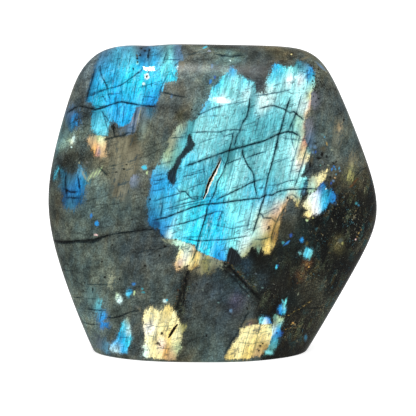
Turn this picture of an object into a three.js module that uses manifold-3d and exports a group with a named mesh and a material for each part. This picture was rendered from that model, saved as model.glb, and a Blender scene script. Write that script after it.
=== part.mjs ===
// Polished labradorite freeform: one natural stone, ground and polished all over
// and sawn flat underneath, so that it stands up by itself.
//
// Units are millimetres and +Z is up. X runs along the width, and the show face looks
// along -Y. The origin lies on the sawn base, in the middle of the stone's bounding box.
//
// The stone is two bulging faces that meet in a rim. The rim is a soft polygon, the
// outline that six ground sides leave when the grinder rolls over from one to the next.

import * as THREE from "three";
import { mergeVertices } from "three/addons/utils/BufferGeometryUtils.js";
import Module from "manifold-3d";

// --- Driving dimensions ---------------------------------------------------------------

// Centre of the outline, to the right of the origin and above the sawn base.
const CENTRE_X = 0.84;
const CENTRE_HEIGHT = 60.0;

// Ground sides of the outline. A side faces the direction `facing` (degrees, 0 is +X and
// 90 is up), lies `reach` from the centre, and blends into the next over `softness`.
const GROUND_SIDES = {
  top: { facing: 89.0, reach: 62.4, softness: 6.6 },
  upperLeft: { facing: 163.0, reach: 67.1, softness: 7.7 },
  lowerLeft: { facing: 199.8, reach: 67.5, softness: 6.2 },
  under: { facing: 262.0, reach: 91.0, softness: 16.0 },
  lowerRight: { facing: 331.5, reach: 61.8, softness: 7.5 },
  upperRight: { facing: 22.5, reach: 62.3, softness: 4.6 },
};

// Shallow dips that the grinder left in the rim, at a direction from the centre.
const RIM_DIPS = [
  { facing: 112.5, depth: 0.6, width: 5.5 },
  { facing: 131.0, depth: 0.3, width: 6.0 },
];

// Half of the thickness at the outline's centre, and how much of it is lost or gained
// between the centre and the base: the foot is thicker than the top.
const HALF_THICKNESS = 25.0;
const THICKNESS_TAPER = 0.1;

// Fullness of each face: 2 is an ellipse, and more is flatter with a tighter rim.
// It grows from the foot to the top between these two heights.
const FULLNESS_HEIGHTS = [20.0, 100.0];
const FACES = {
  front: {
    towards: -1,
    fullness: [2.0, 2.4],
    waves: [
      { length: 58.0, heading: 68.0, height: 0.45, start: 40.0 },
      { length: 41.0, heading: 158.0, height: 0.28, start: 200.0 },
      { length: 27.0, heading: 104.0, height: 0.12, start: 310.0 },
    ],
  },
  back: {
    towards: 1,
    fullness: [2.2, 2.7],
    waves: [
      { length: 64.0, heading: 20.0, height: 0.5, start: 120.0 },
      { length: 44.0, heading: 112.0, height: 0.35, start: 15.0 },
      { length: 30.0, heading: 60.0, height: 0.15, start: 250.0 },
    ],
  },
};

// The eased edge of the sawn base: its height on the wall and its width on the base.
const EDGE_HEIGHT = 0.9;
const EDGE_WIDTH = 0.8;
const EDGE_ROWS = 2;

// Open cleavage cracks in the front face. The points run along the crack (x, z), and
// `width` and `depth` hold at its middle; both taper to nothing at its ends.
const OPEN_CRACKS = {
  mainFissure: {
    points: [
      [3.0, 82.2],
      [1.4, 77.2],
      [-0.4, 72.6],
      [-1.8, 68.7],
      [-3.6, 64.6],
    ],
    width: 1.3,
    depth: 1.1,
  },
  goldCrystalGap: {
    points: [
      [-13.8, 15.6],
      [-15.4, 13.2],
      [-16.8, 10.4],
    ],
    width: 1.2,
    depth: 0.9,
  },
};

// How far a crack's cutter stands out of the face, so that it cuts all the way through it.
const CUTTER_PROUD = 0.8;

// Mesh of each face: concentric rings, and the directions of the ring corners at the top.
const RINGS = 22;
const TOP_CORNERS = [46.0, 134.0];

const WELD_DISTANCE = 1e-4;
const BISECTION_STEPS = 48;

// --- Outline --------------------------------------------------------------------------

const radians = THREE.MathUtils.degToRad;

// Finds where a rising function passes zero, between two bounds.
function bisect(rising, low, high) {
  for (let step = 0; step < BISECTION_STEPS; step += 1) {
    const middle = (low + high) / 2;
    if (rising(middle) > 0) high = middle;
    else low = middle;
  }
  return (low + high) / 2;
}

// Distance from the centre to the rim. A point is inside the soft polygon while the sum
// of exp(overshoot / softness) over the ground sides stays below one.
function rimRadius(direction) {
  const fill = (radius) => {
    let sum = 0;
    for (const side of Object.values(GROUND_SIDES)) {
      const along = radius * Math.cos(direction - radians(side.facing));
      sum += Math.exp((along - side.reach) / side.softness);
    }
    return sum - 1;
  };
  const radius = bisect(fill, 0, 2 * CENTRE_HEIGHT);
  let dip = 0;
  for (const { facing, depth, width } of RIM_DIPS) {
    const turn = direction - radians(facing);
    const away = (radius * Math.atan2(Math.sin(turn), Math.cos(turn))) / width;
    dip += depth * Math.exp(-away * away);
  }
  return radius - dip;
}

// Direction in which the rim is at a height, to the right (1) or the left (-1).
function rimDirectionAt(height, hand) {
  const below = (angle) => {
    const direction = hand > 0 ? -angle : Math.PI + angle;
    const z = CENTRE_HEIGHT + rimRadius(direction) * Math.sin(direction);
    return height - z;
  };
  const angle = bisect(below, radians(30), radians(89));
  return hand > 0 ? -angle : Math.PI + angle;
}

// --- Faces ----------------------------------------------------------------------------

// Sum of the long, low waves that hand polishing leaves in a face.
function polishWaves(waves, x, z) {
  let height = 0;
  for (const wave of waves) {
    const heading = radians(wave.heading);
    const along = x * Math.cos(heading) + z * Math.sin(heading);
    const turn = (2 * Math.PI * along) / wave.length + radians(wave.start);
    height += wave.height * Math.cos(turn);
  }
  return height;
}

// Distance of a face from the middle plane. The section is a superellipse: the half
// thickness times (1 - r^n)^(1/n), with r from 0 at the centre to 1 at the rim.
function faceDepth(face, x, z) {
  const across = x - CENTRE_X;
  const up = z - CENTRE_HEIGHT;
  const direction = Math.atan2(up, across);
  const r = Math.min(1, Math.hypot(across, up) / rimRadius(direction));
  const [low, high] = FULLNESS_HEIGHTS;
  const rise = THREE.MathUtils.smoothstep(z, low, high);
  const n = THREE.MathUtils.lerp(face.fullness[0], face.fullness[1], rise);
  const taper = 1 - (THICKNESS_TAPER * up) / CENTRE_HEIGHT;
  const thickness = HALF_THICKNESS * taper + polishWaves(face.waves, x, z);
  return thickness * Math.pow(Math.max(0, 1 - Math.pow(r, n)), 1 / n);
}

// The foot of the outline: where the rim meets a height, left and right.
function footAt(height) {
  const ends = [-1, 1].map((hand) => {
    const direction = rimDirectionAt(height, hand);
    const x = CENTRE_X + rimRadius(direction) * Math.cos(direction);
    return { direction, x };
  });
  return { left: ends[0], right: ends[1] };
}

const EDGE_FOOT = footAt(EDGE_HEIGHT);
const BASE_FOOT = footAt(0);

// Direction of a grid point from the centre. The grid is a square of side 2 whose rings
// become rings of the stone; its lower corners go to the two tips of the foot. Along the
// foot the steps shorten towards both tips as a cosine does, because the foot turns there.
function gridDirection(a, b) {
  const reach = Math.max(Math.abs(a), Math.abs(b));
  if (reach === 0) return 0;
  const { left, right } = EDGE_FOOT;
  const [topRight, topLeft] = TOP_CORNERS.map(radians);
  const share = (t) => (t / reach + 1) / 2;
  if (b === -reach) {
    const x = THREE.MathUtils.lerp(left.x, right.x, (1 - Math.cos(Math.PI * share(a))) / 2);
    return Math.atan2(EDGE_HEIGHT - CENTRE_HEIGHT, x - CENTRE_X);
  }
  if (a === reach) return THREE.MathUtils.lerp(right.direction, topRight, share(b));
  if (b === reach) return THREE.MathUtils.lerp(topRight, topLeft, share(-a));
  return THREE.MathUtils.lerp(topLeft, left.direction, share(-b));
}

// Point (x, z) of a grid point. Rings close up towards the rim as the sine does, so that
// the facets turn by equal steps; under the centre the rings stop at the eased edge.
function gridPoint(a, b) {
  const ring = Math.max(Math.abs(a), Math.abs(b));
  const direction = gridDirection(a, b);
  let limit = rimRadius(direction);
  if (Math.sin(direction) < 0) {
    const toEdge = (EDGE_HEIGHT - CENTRE_HEIGHT) / Math.sin(direction);
    limit = Math.min(limit, toEdge);
  }
  const radius = limit * Math.sin((ring * Math.PI) / 2);
  const x = CENTRE_X + radius * Math.cos(direction);
  const z = CENTRE_HEIGHT + radius * Math.sin(direction);
  return [x, z];
}

// --- Skin of the stone ----------------------------------------------------------------

const distance = (p, q) => Math.hypot(p[0] - q[0], p[1] - q[1], p[2] - q[2]);

// A row-by-row grid of points as triangles, turned round when `flipped`. Each cell is
// split along its shorter diagonal, so that no ridge crosses the bulge.
function gridTriangles(rows, flipped) {
  const triangles = [];
  const add = (p, q, r) => triangles.push(...(flipped ? [p, r, q] : [p, q, r]));
  for (let i = 0; i + 1 < rows.length; i += 1) {
    for (let j = 0; j + 1 < rows[i].length; j += 1) {
      const [p, q] = [rows[i][j], rows[i + 1][j]];
      const [s, r] = [rows[i][j + 1], rows[i + 1][j + 1]];
      if (distance(p, r) <= distance(q, s)) {
        add(p, q, r);
        add(p, r, s);
      } else {
        add(p, q, s);
        add(q, r, s);
      }
    }
  }
  return triangles;
}

// One bulging face, as triangles of [x, y, z] points.
function faceTriangles(face) {
  const rows = [];
  for (let i = -RINGS; i <= RINGS; i += 1) {
    const row = [];
    for (let j = -RINGS; j <= RINGS; j += 1) {
      const [x, z] = gridPoint(i / RINGS, j / RINGS);
      const onRim = Math.max(Math.abs(i), Math.abs(j)) === RINGS && j > -RINGS;
      const onTip = j === -RINGS && Math.abs(i) === RINGS;
      const depth = onRim || onTip ? 0 : faceDepth(face, x, z);
      row.push([x, face.towards * depth, z]);
    }
    rows.push(row);
  }
  return gridTriangles(rows, face.towards > 0);
}

// Rows of the eased edge, from the wall round to the base. Each cross-section is a
// parabola that leaves the wall at EDGE_HEIGHT, aims at the sharp edge, and ends on the
// base, on the outline of the foot drawn smaller by EDGE_WIDTH.
function easedEdgeRows(face) {
  const rows = Array.from({ length: EDGE_ROWS + 1 }, () => []);
  const middle = (BASE_FOOT.left.x + BASE_FOOT.right.x) / 2;
  const narrower = 1 - EDGE_WIDTH / (BASE_FOOT.right.x - middle);
  const thinner = 1 - EDGE_WIDTH / faceDepth(face, middle, 0);
  for (let i = -RINGS; i <= RINGS; i += 1) {
    const [wallX, wallZ] = gridPoint(i / RINGS, -1);
    const share = THREE.MathUtils.inverseLerp(EDGE_FOOT.left.x, EDGE_FOOT.right.x, wallX);
    const x = THREE.MathUtils.lerp(BASE_FOOT.left.x, BASE_FOOT.right.x, share);
    const onTip = Math.abs(i) === RINGS;
    const wallY = onTip ? 0 : face.towards * faceDepth(face, wallX, wallZ);
    const y = onTip ? 0 : face.towards * faceDepth(face, x, 0);
    const curve = new THREE.QuadraticBezierCurve3(
      new THREE.Vector3(wallX, wallY, wallZ),
      new THREE.Vector3(x, y, 0),
      new THREE.Vector3(middle + narrower * (x - middle), thinner * y, 0),
    );
    rows.forEach((row, k) => row.push(curve.getPoint(k / EDGE_ROWS).toArray()));
  }
  return rows;
}

// The eased edges of both faces and the flat base between them.
function footTriangles() {
  const front = easedEdgeRows(FACES.front);
  const back = easedEdgeRows(FACES.back);
  const base = [front[EDGE_ROWS], back[EDGE_ROWS]];
  return [
    ...gridTriangles(front, false),
    ...gridTriangles(back, true),
    ...gridTriangles(base, false),
  ];
}

// --- Solids ---------------------------------------------------------------------------

const wasm = await Module();
wasm.setup();

// A closed list of triangle corners as a solid.
function solidFrom(corners) {
  const loose = new THREE.BufferGeometry();
  loose.setAttribute("position", new THREE.Float32BufferAttribute(corners.flat(), 3));
  const merged = mergeVertices(loose, WELD_DISTANCE);
  const index = merged.index.array;
  const kept = [];
  for (let i = 0; i < index.length; i += 3) {
    const [p, q, r] = index.subarray(i, i + 3);
    const collapsed = p === q || q === r || r === p;
    if (!collapsed) kept.push(p, q, r);
  }
  return new wasm.Manifold(
    new wasm.Mesh({
      numProp: 3,
      vertProperties: merged.attributes.position.array,
      triVerts: new Uint32Array(kept),
    }),
  );
}

// A solid as a geometry for a mesh.
function geometryFrom(solid) {
  const { vertProperties, triVerts } = solid.getMesh();
  const geometry = new THREE.BufferGeometry();
  geometry.setAttribute("position", new THREE.BufferAttribute(vertProperties, 3));
  geometry.setIndex(new THREE.BufferAttribute(triVerts, 1));
  return geometry;
}

// The wedge that opens a crack: a V section drawn along the crack, wide outside the
// front face and coming to an edge at the crack's depth, with both ends pinched shut.
function crackCutter({ points, width, depth }) {
  const path = new THREE.CatmullRomCurve3(
    points.map(([x, z]) => new THREE.Vector3(x, 0, z)),
  );
  const stations = 2 * points.length;
  const lips = [[], [], []];
  for (let k = 0; k <= stations; k += 1) {
    const t = k / stations;
    const swell = Math.sin(Math.PI * t);
    const at = path.getPoint(t);
    const along = path.getTangent(t);
    const surface = -faceDepth(FACES.front, at.x, at.z);
    const bottom = surface + depth * swell;
    const top = surface - CUTTER_PROUD;
    const flare = (bottom - top) / depth;
    const half = (width / 2) * swell * flare;
    lips[0].push([at.x - along.z * half, top, at.z + along.x * half]);
    lips[1].push([at.x + along.z * half, top, at.z - along.x * half]);
    lips[2].push([at.x, swell > WELD_DISTANCE ? bottom : top, at.z]);
  }
  return solidFrom(gridTriangles([lips[0], lips[1], lips[2], lips[0]], false));
}

let stone = solidFrom([
  ...faceTriangles(FACES.front),
  ...faceTriangles(FACES.back),
  ...footTriangles(),
]);
for (const crack of Object.values(OPEN_CRACKS)) {
  stone = stone.subtract(crackCutter(crack));
}

// --- Scene graph ----------------------------------------------------------------------

const labradorite = new THREE.MeshStandardMaterial({
  color: 0x4f6660,
  roughness: 0.12,
  metalness: 0.0,
});

const geometry = geometryFrom(stone);
geometry.computeBoundingBox();
const centre = geometry.boundingBox.getCenter(new THREE.Vector3());
geometry.translate(-centre.x, -centre.y, 0);
geometry.computeVertexNormals();

const stoneMesh = new THREE.Mesh(geometry, labradorite);
stoneMesh.name = "labradorite_stone";

const freeform = new THREE.Group();
freeform.name = "polished_labradorite_freeform";
freeform.add(stoneMesh);

export default freeform;
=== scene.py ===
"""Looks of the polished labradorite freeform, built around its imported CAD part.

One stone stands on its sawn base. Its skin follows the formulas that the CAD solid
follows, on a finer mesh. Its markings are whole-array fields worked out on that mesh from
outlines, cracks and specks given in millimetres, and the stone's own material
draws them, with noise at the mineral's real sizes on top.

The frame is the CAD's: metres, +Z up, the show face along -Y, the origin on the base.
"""

import logging
from dataclasses import dataclass
from enum import Enum
from math import sin
from types import SimpleNamespace
from typing import Any

import bmesh
import bpy
import numpy as np
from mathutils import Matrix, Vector


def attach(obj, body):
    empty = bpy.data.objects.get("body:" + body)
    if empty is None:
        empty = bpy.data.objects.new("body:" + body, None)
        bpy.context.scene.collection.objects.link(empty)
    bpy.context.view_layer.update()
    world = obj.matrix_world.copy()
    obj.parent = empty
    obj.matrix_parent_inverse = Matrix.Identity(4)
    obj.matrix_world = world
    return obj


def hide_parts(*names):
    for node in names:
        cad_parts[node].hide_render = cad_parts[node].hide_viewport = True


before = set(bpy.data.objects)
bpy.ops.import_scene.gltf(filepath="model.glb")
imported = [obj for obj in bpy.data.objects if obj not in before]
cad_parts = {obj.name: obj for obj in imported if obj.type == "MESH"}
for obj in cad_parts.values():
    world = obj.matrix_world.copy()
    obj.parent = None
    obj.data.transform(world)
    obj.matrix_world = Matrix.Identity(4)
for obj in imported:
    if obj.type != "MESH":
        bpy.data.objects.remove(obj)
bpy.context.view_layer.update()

log = logging.getLogger("labradorite")

MM = 0.001
# The smallest share of a length that counts, and the smallest number to divide by.
TINY, SMALL = 1e-9, 1e-6
# Steps of the searches for the rim and for the foot, and the length of the rim's table.
RIM_HALVINGS, FOOT_HALVINGS, RIM_TABLE = 40, 48, 7201
# How far the lamellae lean to the right of upright, in degrees.
LEAN = 13.0
Array = np.ndarray
Point = tuple[float, float]
Place = tuple[float, float, float]


# --- Small helpers --------------------------------------------------------------------


def linear(colour: str) -> tuple[float, float, float, float]:
    """Turns an sRGB hex colour into linear red, green, blue and alpha.

    Args:
        colour: Six hex digits after a hash.

    Returns:
        Four linear values, with alpha 1.
    """
    channels = [int(colour[i : i + 2], 16) / 255 for i in (1, 3, 5)]
    return (
        *(c / 12.92 if c <= 0.04045 else ((c + 0.055) / 1.055) ** 2.4 for c in channels),
        1.0,
    )


def smoothstep(value: Array, low: float, high: float) -> Array:
    """Rises from 0 at `low` to 1 at `high` as t^2 (3 - 2t)."""
    t = np.clip((value - low) / (high - low), 0, 1)
    return t * t * (3 - 2 * t)


def mix(start: Any, end: Any, share: Any) -> Any:
    """Blends linearly from `start` to `end`."""
    return start + (end - start) * share


class Tone(Enum):
    """Colours of the mineral, in sRGB: the flash first, then the groundmass."""

    NAVY = "#163f66"
    INDIGO = "#27509a"
    ROYAL = "#2a78bd"
    AZURE = "#228cd2"
    BRIGHT = "#12aae8"
    CYAN = "#0ad2f0"
    SKY = "#48c2dc"
    TURQUOISE = "#55b2bd"
    TEAL = "#3a8790"
    AQUA = "#86dde2"
    ICE = "#d6f6f2"
    MINT = "#b4e2c6"
    LEAF = "#b4cc98"
    MOSS = "#96955c"
    OLIVE = "#544e2e"
    CREAM = "#f5e7a4"
    GOLD = "#e4c96f"
    AMBER = "#d9a65a"
    ORANGE = "#c48552"
    COPPER = "#c08a78"
    PINK = "#e2c0bc"
    LILAC = "#8c98a8"
    SLATE = "#5c7c98"
    STEEL = "#5391ad"
    FROST = "#7cf0f0"
    GLACIER = "#a8f2f4"
    PETROL = "#356e88"
    JADE = "#5c968c"
    SAGE = "#8f967e"
    SAND = "#c4a478"
    BRASS = "#a0884c"
    BRONZE = "#806438"
    MIST = "#64736c"
    LICHEN = "#5e7a77"
    ASH = "#55636a"
    SHALE = "#464c49"
    FERN = "#4a544e"
    PEWTER = "#626660"
    TAUPE = "#6b6856"
    UMBER = "#4b4737"
    BROWN = "#3a3528"
    RUST = "#5c3a1c"
    DUSK = "#323b40"
    PINE = "#1d2926"
    BARK = "#1b1914"
    NIGHT = "#090a08"
    INK = "#2c3f4a"
    HEATHER = "#474353"
    KHAKI = "#7b7862"
    DRAB = "#65685c"
    HAZE = "#6d7078"
    WHITE = "#ffffff"

    @property
    def rgb(self) -> Array:
        """The tone as three linear values."""
        return np.array(linear(self.value)[:3])


# --- Shape of the stone ---------------------------------------------------------------


@dataclass(frozen=True)
class GroundSide:
    """One ground side of the outline: facing in degrees, the rest in millimetres."""

    facing: float
    reach: float
    softness: float


@dataclass(frozen=True)
class Wave:
    """One low wave that hand polishing left: millimetres and degrees."""

    length: float
    heading: float
    height: float
    start: float


@dataclass(frozen=True)
class Face:
    """One bulging face: its side, its fullness at the foot and the top, its waves."""

    towards: int
    fullness: tuple[float, float]
    waves: tuple[Wave, ...]


@dataclass(frozen=True)
class Groove:
    """An open crack in the front face, wide and deep at its middle, in millimetres."""

    points: tuple[Point, ...]
    width: float
    depth: float


@dataclass(frozen=True)
class StoneShape:
    """The formulas of the stone's skin, in millimetres, with (x, z) in the face."""

    centre: Point = (0.84, 60.0)
    sides: tuple[GroundSide, ...] = (
        GroundSide(89.0, 62.4, 6.6),
        GroundSide(163.0, 67.1, 7.7),
        GroundSide(199.8, 67.5, 6.2),
        GroundSide(262.0, 91.0, 16.0),
        GroundSide(331.5, 61.8, 7.5),
        GroundSide(22.5, 62.3, 4.6),
    )
    dips: tuple[tuple[float, float, float], ...] = ((112.5, 0.6, 5.5), (131.0, 0.3, 6.0))
    half_thickness: float = 25.0
    taper: float = 0.1
    fullness_heights: tuple[float, float] = (20.0, 100.0)
    edge_height: float = 0.9
    edge_width: float = 0.8
    foot_directions: tuple[float, float] = (30.0, 89.0)
    top_corners: tuple[float, float] = (46.0, 134.0)
    farthest: float = 120.0
    rings: tuple[float, float, float] = (0.73, 0.27, 4.7)
    front: Face = Face(-1, (2.0, 2.4), (Wave(58, 68, 0.45, 40),))
    back: Face = Face(
        1,
        (2.2, 2.7),
        (Wave(64, 20, 0.5, 120), Wave(44, 112, 0.35, 15), Wave(30, 60, 0.15, 250)),
    )

    def rim_radius(self, direction: Array) -> Array:
        """Distance from the centre to the rim.

        A point is inside while the sum over the ground sides of
        exp(overshoot / softness) stays below one; halving an interval finds the radius.

        Args:
            direction: Angles from the centre, in radians.

        Returns:
            Radii in millimetres.
        """
        low, high = np.zeros_like(direction), np.full_like(direction, self.farthest)
        for _ in range(RIM_HALVINGS):
            middle = (low + high) / 2
            fill = 0.0
            for side in self.sides:
                over = middle * np.cos(direction - np.radians(side.facing)) - side.reach
                fill = fill + np.exp(over / side.softness)
            high = np.where(fill > 1, middle, high)
            low = np.where(fill > 1, low, middle)
        radius = (low + high) / 2
        dip = 0.0
        for facing, depth, width in self.dips:
            turn = direction - np.radians(facing)
            away = radius * np.arctan2(np.sin(turn), np.cos(turn)) / width
            dip = dip + depth * np.exp(-away * away)
        return radius - dip

    def polar(self, x: Array, z: Array) -> tuple[Array, Array]:
        """Direction and distance of points from the outline's centre."""
        across, up = x - self.centre[0], z - self.centre[1]
        return np.arctan2(up, across), np.hypot(across, up)

    def face_depth(self, face: Face, x: Array, z: Array) -> Array:
        """Distance of a face from the middle plane.

        The section is a superellipse: half the thickness times (1 - r^n)^(1/n), with r
        from 0 at the centre to 1 at the rim.

        Args:
            face: The face.
            x: Places along the width.
            z: Heights.

        Returns:
            Distances in millimetres.
        """
        direction, distance = self.polar(x, z)
        table = np.linspace(-np.pi, np.pi, RIM_TABLE)
        rim = np.interp(direction, table, self.rim_radius(table))
        r = np.minimum(1, distance / rim)
        n = mix(*face.fullness, smoothstep(z, *self.fullness_heights))
        thickness = self.half_thickness * (
            1 - self.taper * (z - self.centre[1]) / self.centre[1]
        )
        for wave in face.waves:
            heading = np.radians(wave.heading)
            along = x * np.cos(heading) + z * np.sin(heading)
            turn = 2 * np.pi * along / wave.length + np.radians(wave.start)
            thickness = thickness + wave.height * np.cos(turn)
        return thickness * np.maximum(0, 1 - r**n) ** (1 / n)

    def foot(self, height: float) -> tuple[Point, Point]:
        """Where the rim meets a height, found by halving an interval of directions.

        Args:
            height: The height, in millimetres.

        Returns:
            The direction and the x at the left, and the same at the right.
        """
        ends = []
        for hand in (-1, 1):
            low, high = np.radians(self.foot_directions)
            for _ in range(FOOT_HALVINGS):
                middle = (low + high) / 2
                direction = -middle if hand > 0 else np.pi + middle
                radius = self.rim_radius(np.array([direction]))[0]
                below = self.centre[1] + radius * np.sin(direction) < height
                low, high = (low, middle) if below else (middle, high)
            ends.append((direction, self.centre[0] + radius * np.cos(direction)))
        return ends[0], ends[1]

    def grid_point(self, a: Array, b: Array) -> tuple[Array, Array]:
        """Point (x, z) of a point of the square grid, whose rings are the stone's rings.

        The square's lower corners go to the tips of the foot. Rings crowd towards the
        rim as the sine does, and the steps along the foot shorten towards its tips.

        Args:
            a: Place across the square, from -1 to 1.
            b: Place up the square, from -1 to 1.

        Returns:
            The x and the z of each point, in millimetres.
        """
        ring = np.maximum(np.abs(a), np.abs(b))
        p, q = (v / np.maximum(ring, TINY) for v in (a, b))
        left, right = self.foot(self.edge_height)
        top_right, top_left = np.radians(self.top_corners)
        foot_x = mix(left[1], right[1], (1 - np.cos(np.pi * (p + 1) / 2)) / 2)
        near = 1 - TINY
        direction = np.select(
            [q <= -near, p >= near, q >= near],
            [
                np.arctan2(self.edge_height - self.centre[1], foot_x - self.centre[0]),
                mix(right[0], top_right, (q + 1) / 2),
                mix(top_right, top_left, (1 - p) / 2),
            ],
            mix(top_left, left[0], (1 - q) / 2),
        )
        limit = self.rim_radius(direction)
        drop = np.minimum(np.sin(direction), -SMALL)
        to_edge = (self.edge_height - self.centre[1]) / drop
        limit = np.where(np.sin(direction) < 0, np.minimum(limit, to_edge), limit)
        even, crowded, power = self.rings
        turn = even * ring + crowded * ring**power
        radius = limit * np.sin(turn * np.pi / 2)
        return (
            self.centre[0] + radius * np.cos(direction),
            self.centre[1] + radius * np.sin(direction),
        )


# The open cleavage crack in the big crystal and the gap in the gold one.
GROOVES = (
    Groove(((3.1, 80.2), (1.9, 77.9), (0.7, 75.5), (-0.3, 73.7), (-1.3, 71.8), (-2.1, 69.8),
            (-2.6, 67.8), (-3.8, 64.9)), width=1.0, depth=0.9),
    Groove(((-13.6, 15.9), (-15.2, 13.6), (-16, 12.2), (-17.2, 10.1)), width=1.3, depth=0.8),
)


# --- Markings: lines, areas and specks --------------------------------------------------


@dataclass(frozen=True)
class Dab:
    """A spot of colour that its surroundings blend from, in millimetres."""

    x: float
    z: float
    tone: Tone
    reach: float


@dataclass(frozen=True)
class Patch:
    """A flashing part of a crystal: its outline, its colours, how its edge ends.

    `soft` is the width over which the flash fades, and `ragged` how far the lamellae
    comb its edge in and out.
    """

    outline: tuple[Point, ...]
    dabs: tuple[Dab, ...]
    soft: float
    ragged: float


@dataclass(frozen=True)
class Crack:
    """A closed cleavage crack: a hairline along its points.

    `width` is its half width in millimetres and `strength` how dark it is.
    """

    points: tuple[Point, ...]
    width: float
    strength: float


@dataclass(frozen=True)
class Speck:
    """A small oval spot: centre, half sizes, colour, its turn in degrees, softness."""

    x: float
    z: float
    half: float
    tall: float
    tone: Tone
    turn: float
    soft: float


def segments_of(points: tuple[Point, ...], closed: bool) -> tuple[Array, Array]:
    """Segments of a line.

    Args:
        points: The line's points.
        closed: Whether the last point joins the first.

    Returns:
        The segments' starts and their ends, one row each.
    """
    starts = np.array(points, float)
    ends = np.roll(starts, -1, axis=0)
    return (starts, ends) if closed else (starts[:-1], ends[:-1])


def nearest_segment(
    places: Array, starts: Array, ends: Array
) -> tuple[Array, Array, Array]:
    """Distance from each place to the nearest of some segments.

    Args:
        places: Points, one row each.
        starts: Segment starts, one row each.
        ends: Segment ends, one row each.

    Returns:
        For each place the distance, the segment's number and the share along it.
    """
    run = ends - starts
    offset = places[:, None, :] - starts[None]
    share = np.einsum("ijk,jk->ij", offset, run) / np.einsum("jk,jk->j", run, run)
    share = np.clip(share, 0, 1)
    gap = np.linalg.norm(offset - share[..., None] * run[None], axis=2)
    chosen = gap.argmin(axis=1)
    row = np.arange(len(places))
    return gap[row, chosen], chosen, share[row, chosen]


def inside_by(places: Array, outline: tuple[Point, ...]) -> Array:
    """Signed distance to a closed outline, positive inside.

    The sign comes from how many of the outline's segments a line to the right crosses.

    Args:
        places: Points, one row each.
        outline: The outline's corners.

    Returns:
        Distances in the same unit.
    """
    starts, ends = segments_of(outline, closed=True)
    gap, _, _ = nearest_segment(places, starts, ends)
    x, z = places[:, :1], places[:, 1:]
    straddles = (starts[:, 1] > z) != (ends[:, 1] > z)
    rise = np.where(ends[:, 1] == starts[:, 1], TINY, ends[:, 1] - starts[:, 1])
    crossing = starts[:, 0] + (z - starts[:, 1]) / rise * (ends[:, 0] - starts[:, 0])
    inside = (straddles & (x < crossing)).sum(axis=1) % 2 == 1
    return np.where(inside, gap, -gap)


def wandering(
    points: tuple[Point, ...], sway: float, closed: bool = False
) -> tuple[Point, ...]:
    """A natural line through some points, as a mineral's edges and cracks run.

    Each segment is cut in four uneven steps, and the points between move sideways by
    the sway times a sine that differs from one to the next.

    Args:
        points: The line's points.
        sway: The largest move, in millimetres.
        closed: Whether the last point joins the first.

    Returns:
        The points of the finer line.
    """
    starts, ends = segments_of(points, closed)
    share = np.array([0.0, 0.22, 0.5, 0.77])
    run = ends - starts
    side = np.stack([-run[:, 1], run[:, 0]], 1)
    side = side / np.linalg.norm(side, axis=1, keepdims=True)
    number = np.arange(share.size * len(starts)).reshape(len(starts), -1)
    move = sway * np.sin(2.4 * number**1.7) * (share > 0)
    places = starts[:, None] + share[:, None] * run[:, None]
    places = (places + move[..., None] * side[:, None]).reshape(-1, 2)
    return tuple(map(tuple, places if closed else [*places, ends[-1]]))


def blend_dabs(places: Array, dabs: tuple[Dab, ...], stretch: float = 1.8) -> Array:
    """Colour at each place, blended from dabs.

    Each dab weighs exp(-(distance / reach)^2 / 2), and the weights share out to one. The
    distance along the lamellae counts less, so that colours run along them.

    Args:
        places: Points, one row each.
        dabs: The dabs.
        stretch: How much longer a dab is along the lamellae.

    Returns:
        Linear colours, one row each.
    """
    centres = np.array([(d.x, d.z) for d in dabs])
    reach = np.array([d.reach for d in dabs])
    tones = np.array([d.tone.rgb for d in dabs])
    x, z = np.moveaxis(places[:, None, :] - centres[None], 2, 0)
    lean = np.radians(LEAN)
    across = x * np.cos(lean) - z * np.sin(lean)
    along = x * np.sin(lean) + z * np.cos(lean)
    power = -(across**2 + (along / stretch) ** 2) / (2 * reach**2)
    weight = np.exp(power - power.max(axis=1, keepdims=True))
    return (weight / weight.sum(axis=1, keepdims=True)) @ tones


def dabs(*groups: tuple) -> tuple[Dab, ...]:
    """Dabs from groups of one tone each: the tone, then (x, z, reach) of every dab."""
    return tuple(Dab(x, z, tone, reach) for tone, *spots in groups for x, z, reach in spots)


def crystals(*rows: tuple, sway: float = 0.0) -> tuple[Patch, ...]:
    """Crystals from rows of softness, raggedness, outline and groups of dabs.

    Args:
        rows: The rows.
        sway: How far the outlines wander between their points, in millimetres.

    Returns:
        The crystals, in the same order.
    """
    return tuple(
        Patch(
            wandering(outline, sway, closed=True) if sway else outline,
            dabs(*groups), soft, ragged,
        )
        for soft, ragged, outline, *groups in rows
    )


def cracks(*rows: tuple, sway: float = 0.0) -> tuple[Crack, ...]:
    """Closed cracks from rows of half width, strength and points.

    Args:
        rows: The rows.
        sway: How far the cracks wander between their points, in millimetres.

    Returns:
        The cracks, in the same order.
    """
    return tuple(
        Crack(wandering(points, sway) if sway else tuple(points), width, strength)
        for width, strength, *points in rows
    )


def specks(*groups: tuple) -> tuple[Speck, ...]:
    """Specks from groups of one softness: it, then every speck's other values."""
    return tuple(Speck(*spot, soft) for soft, *spots in groups for spot in spots)


# A short name, for the tables of the markings.
T = Tone

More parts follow.
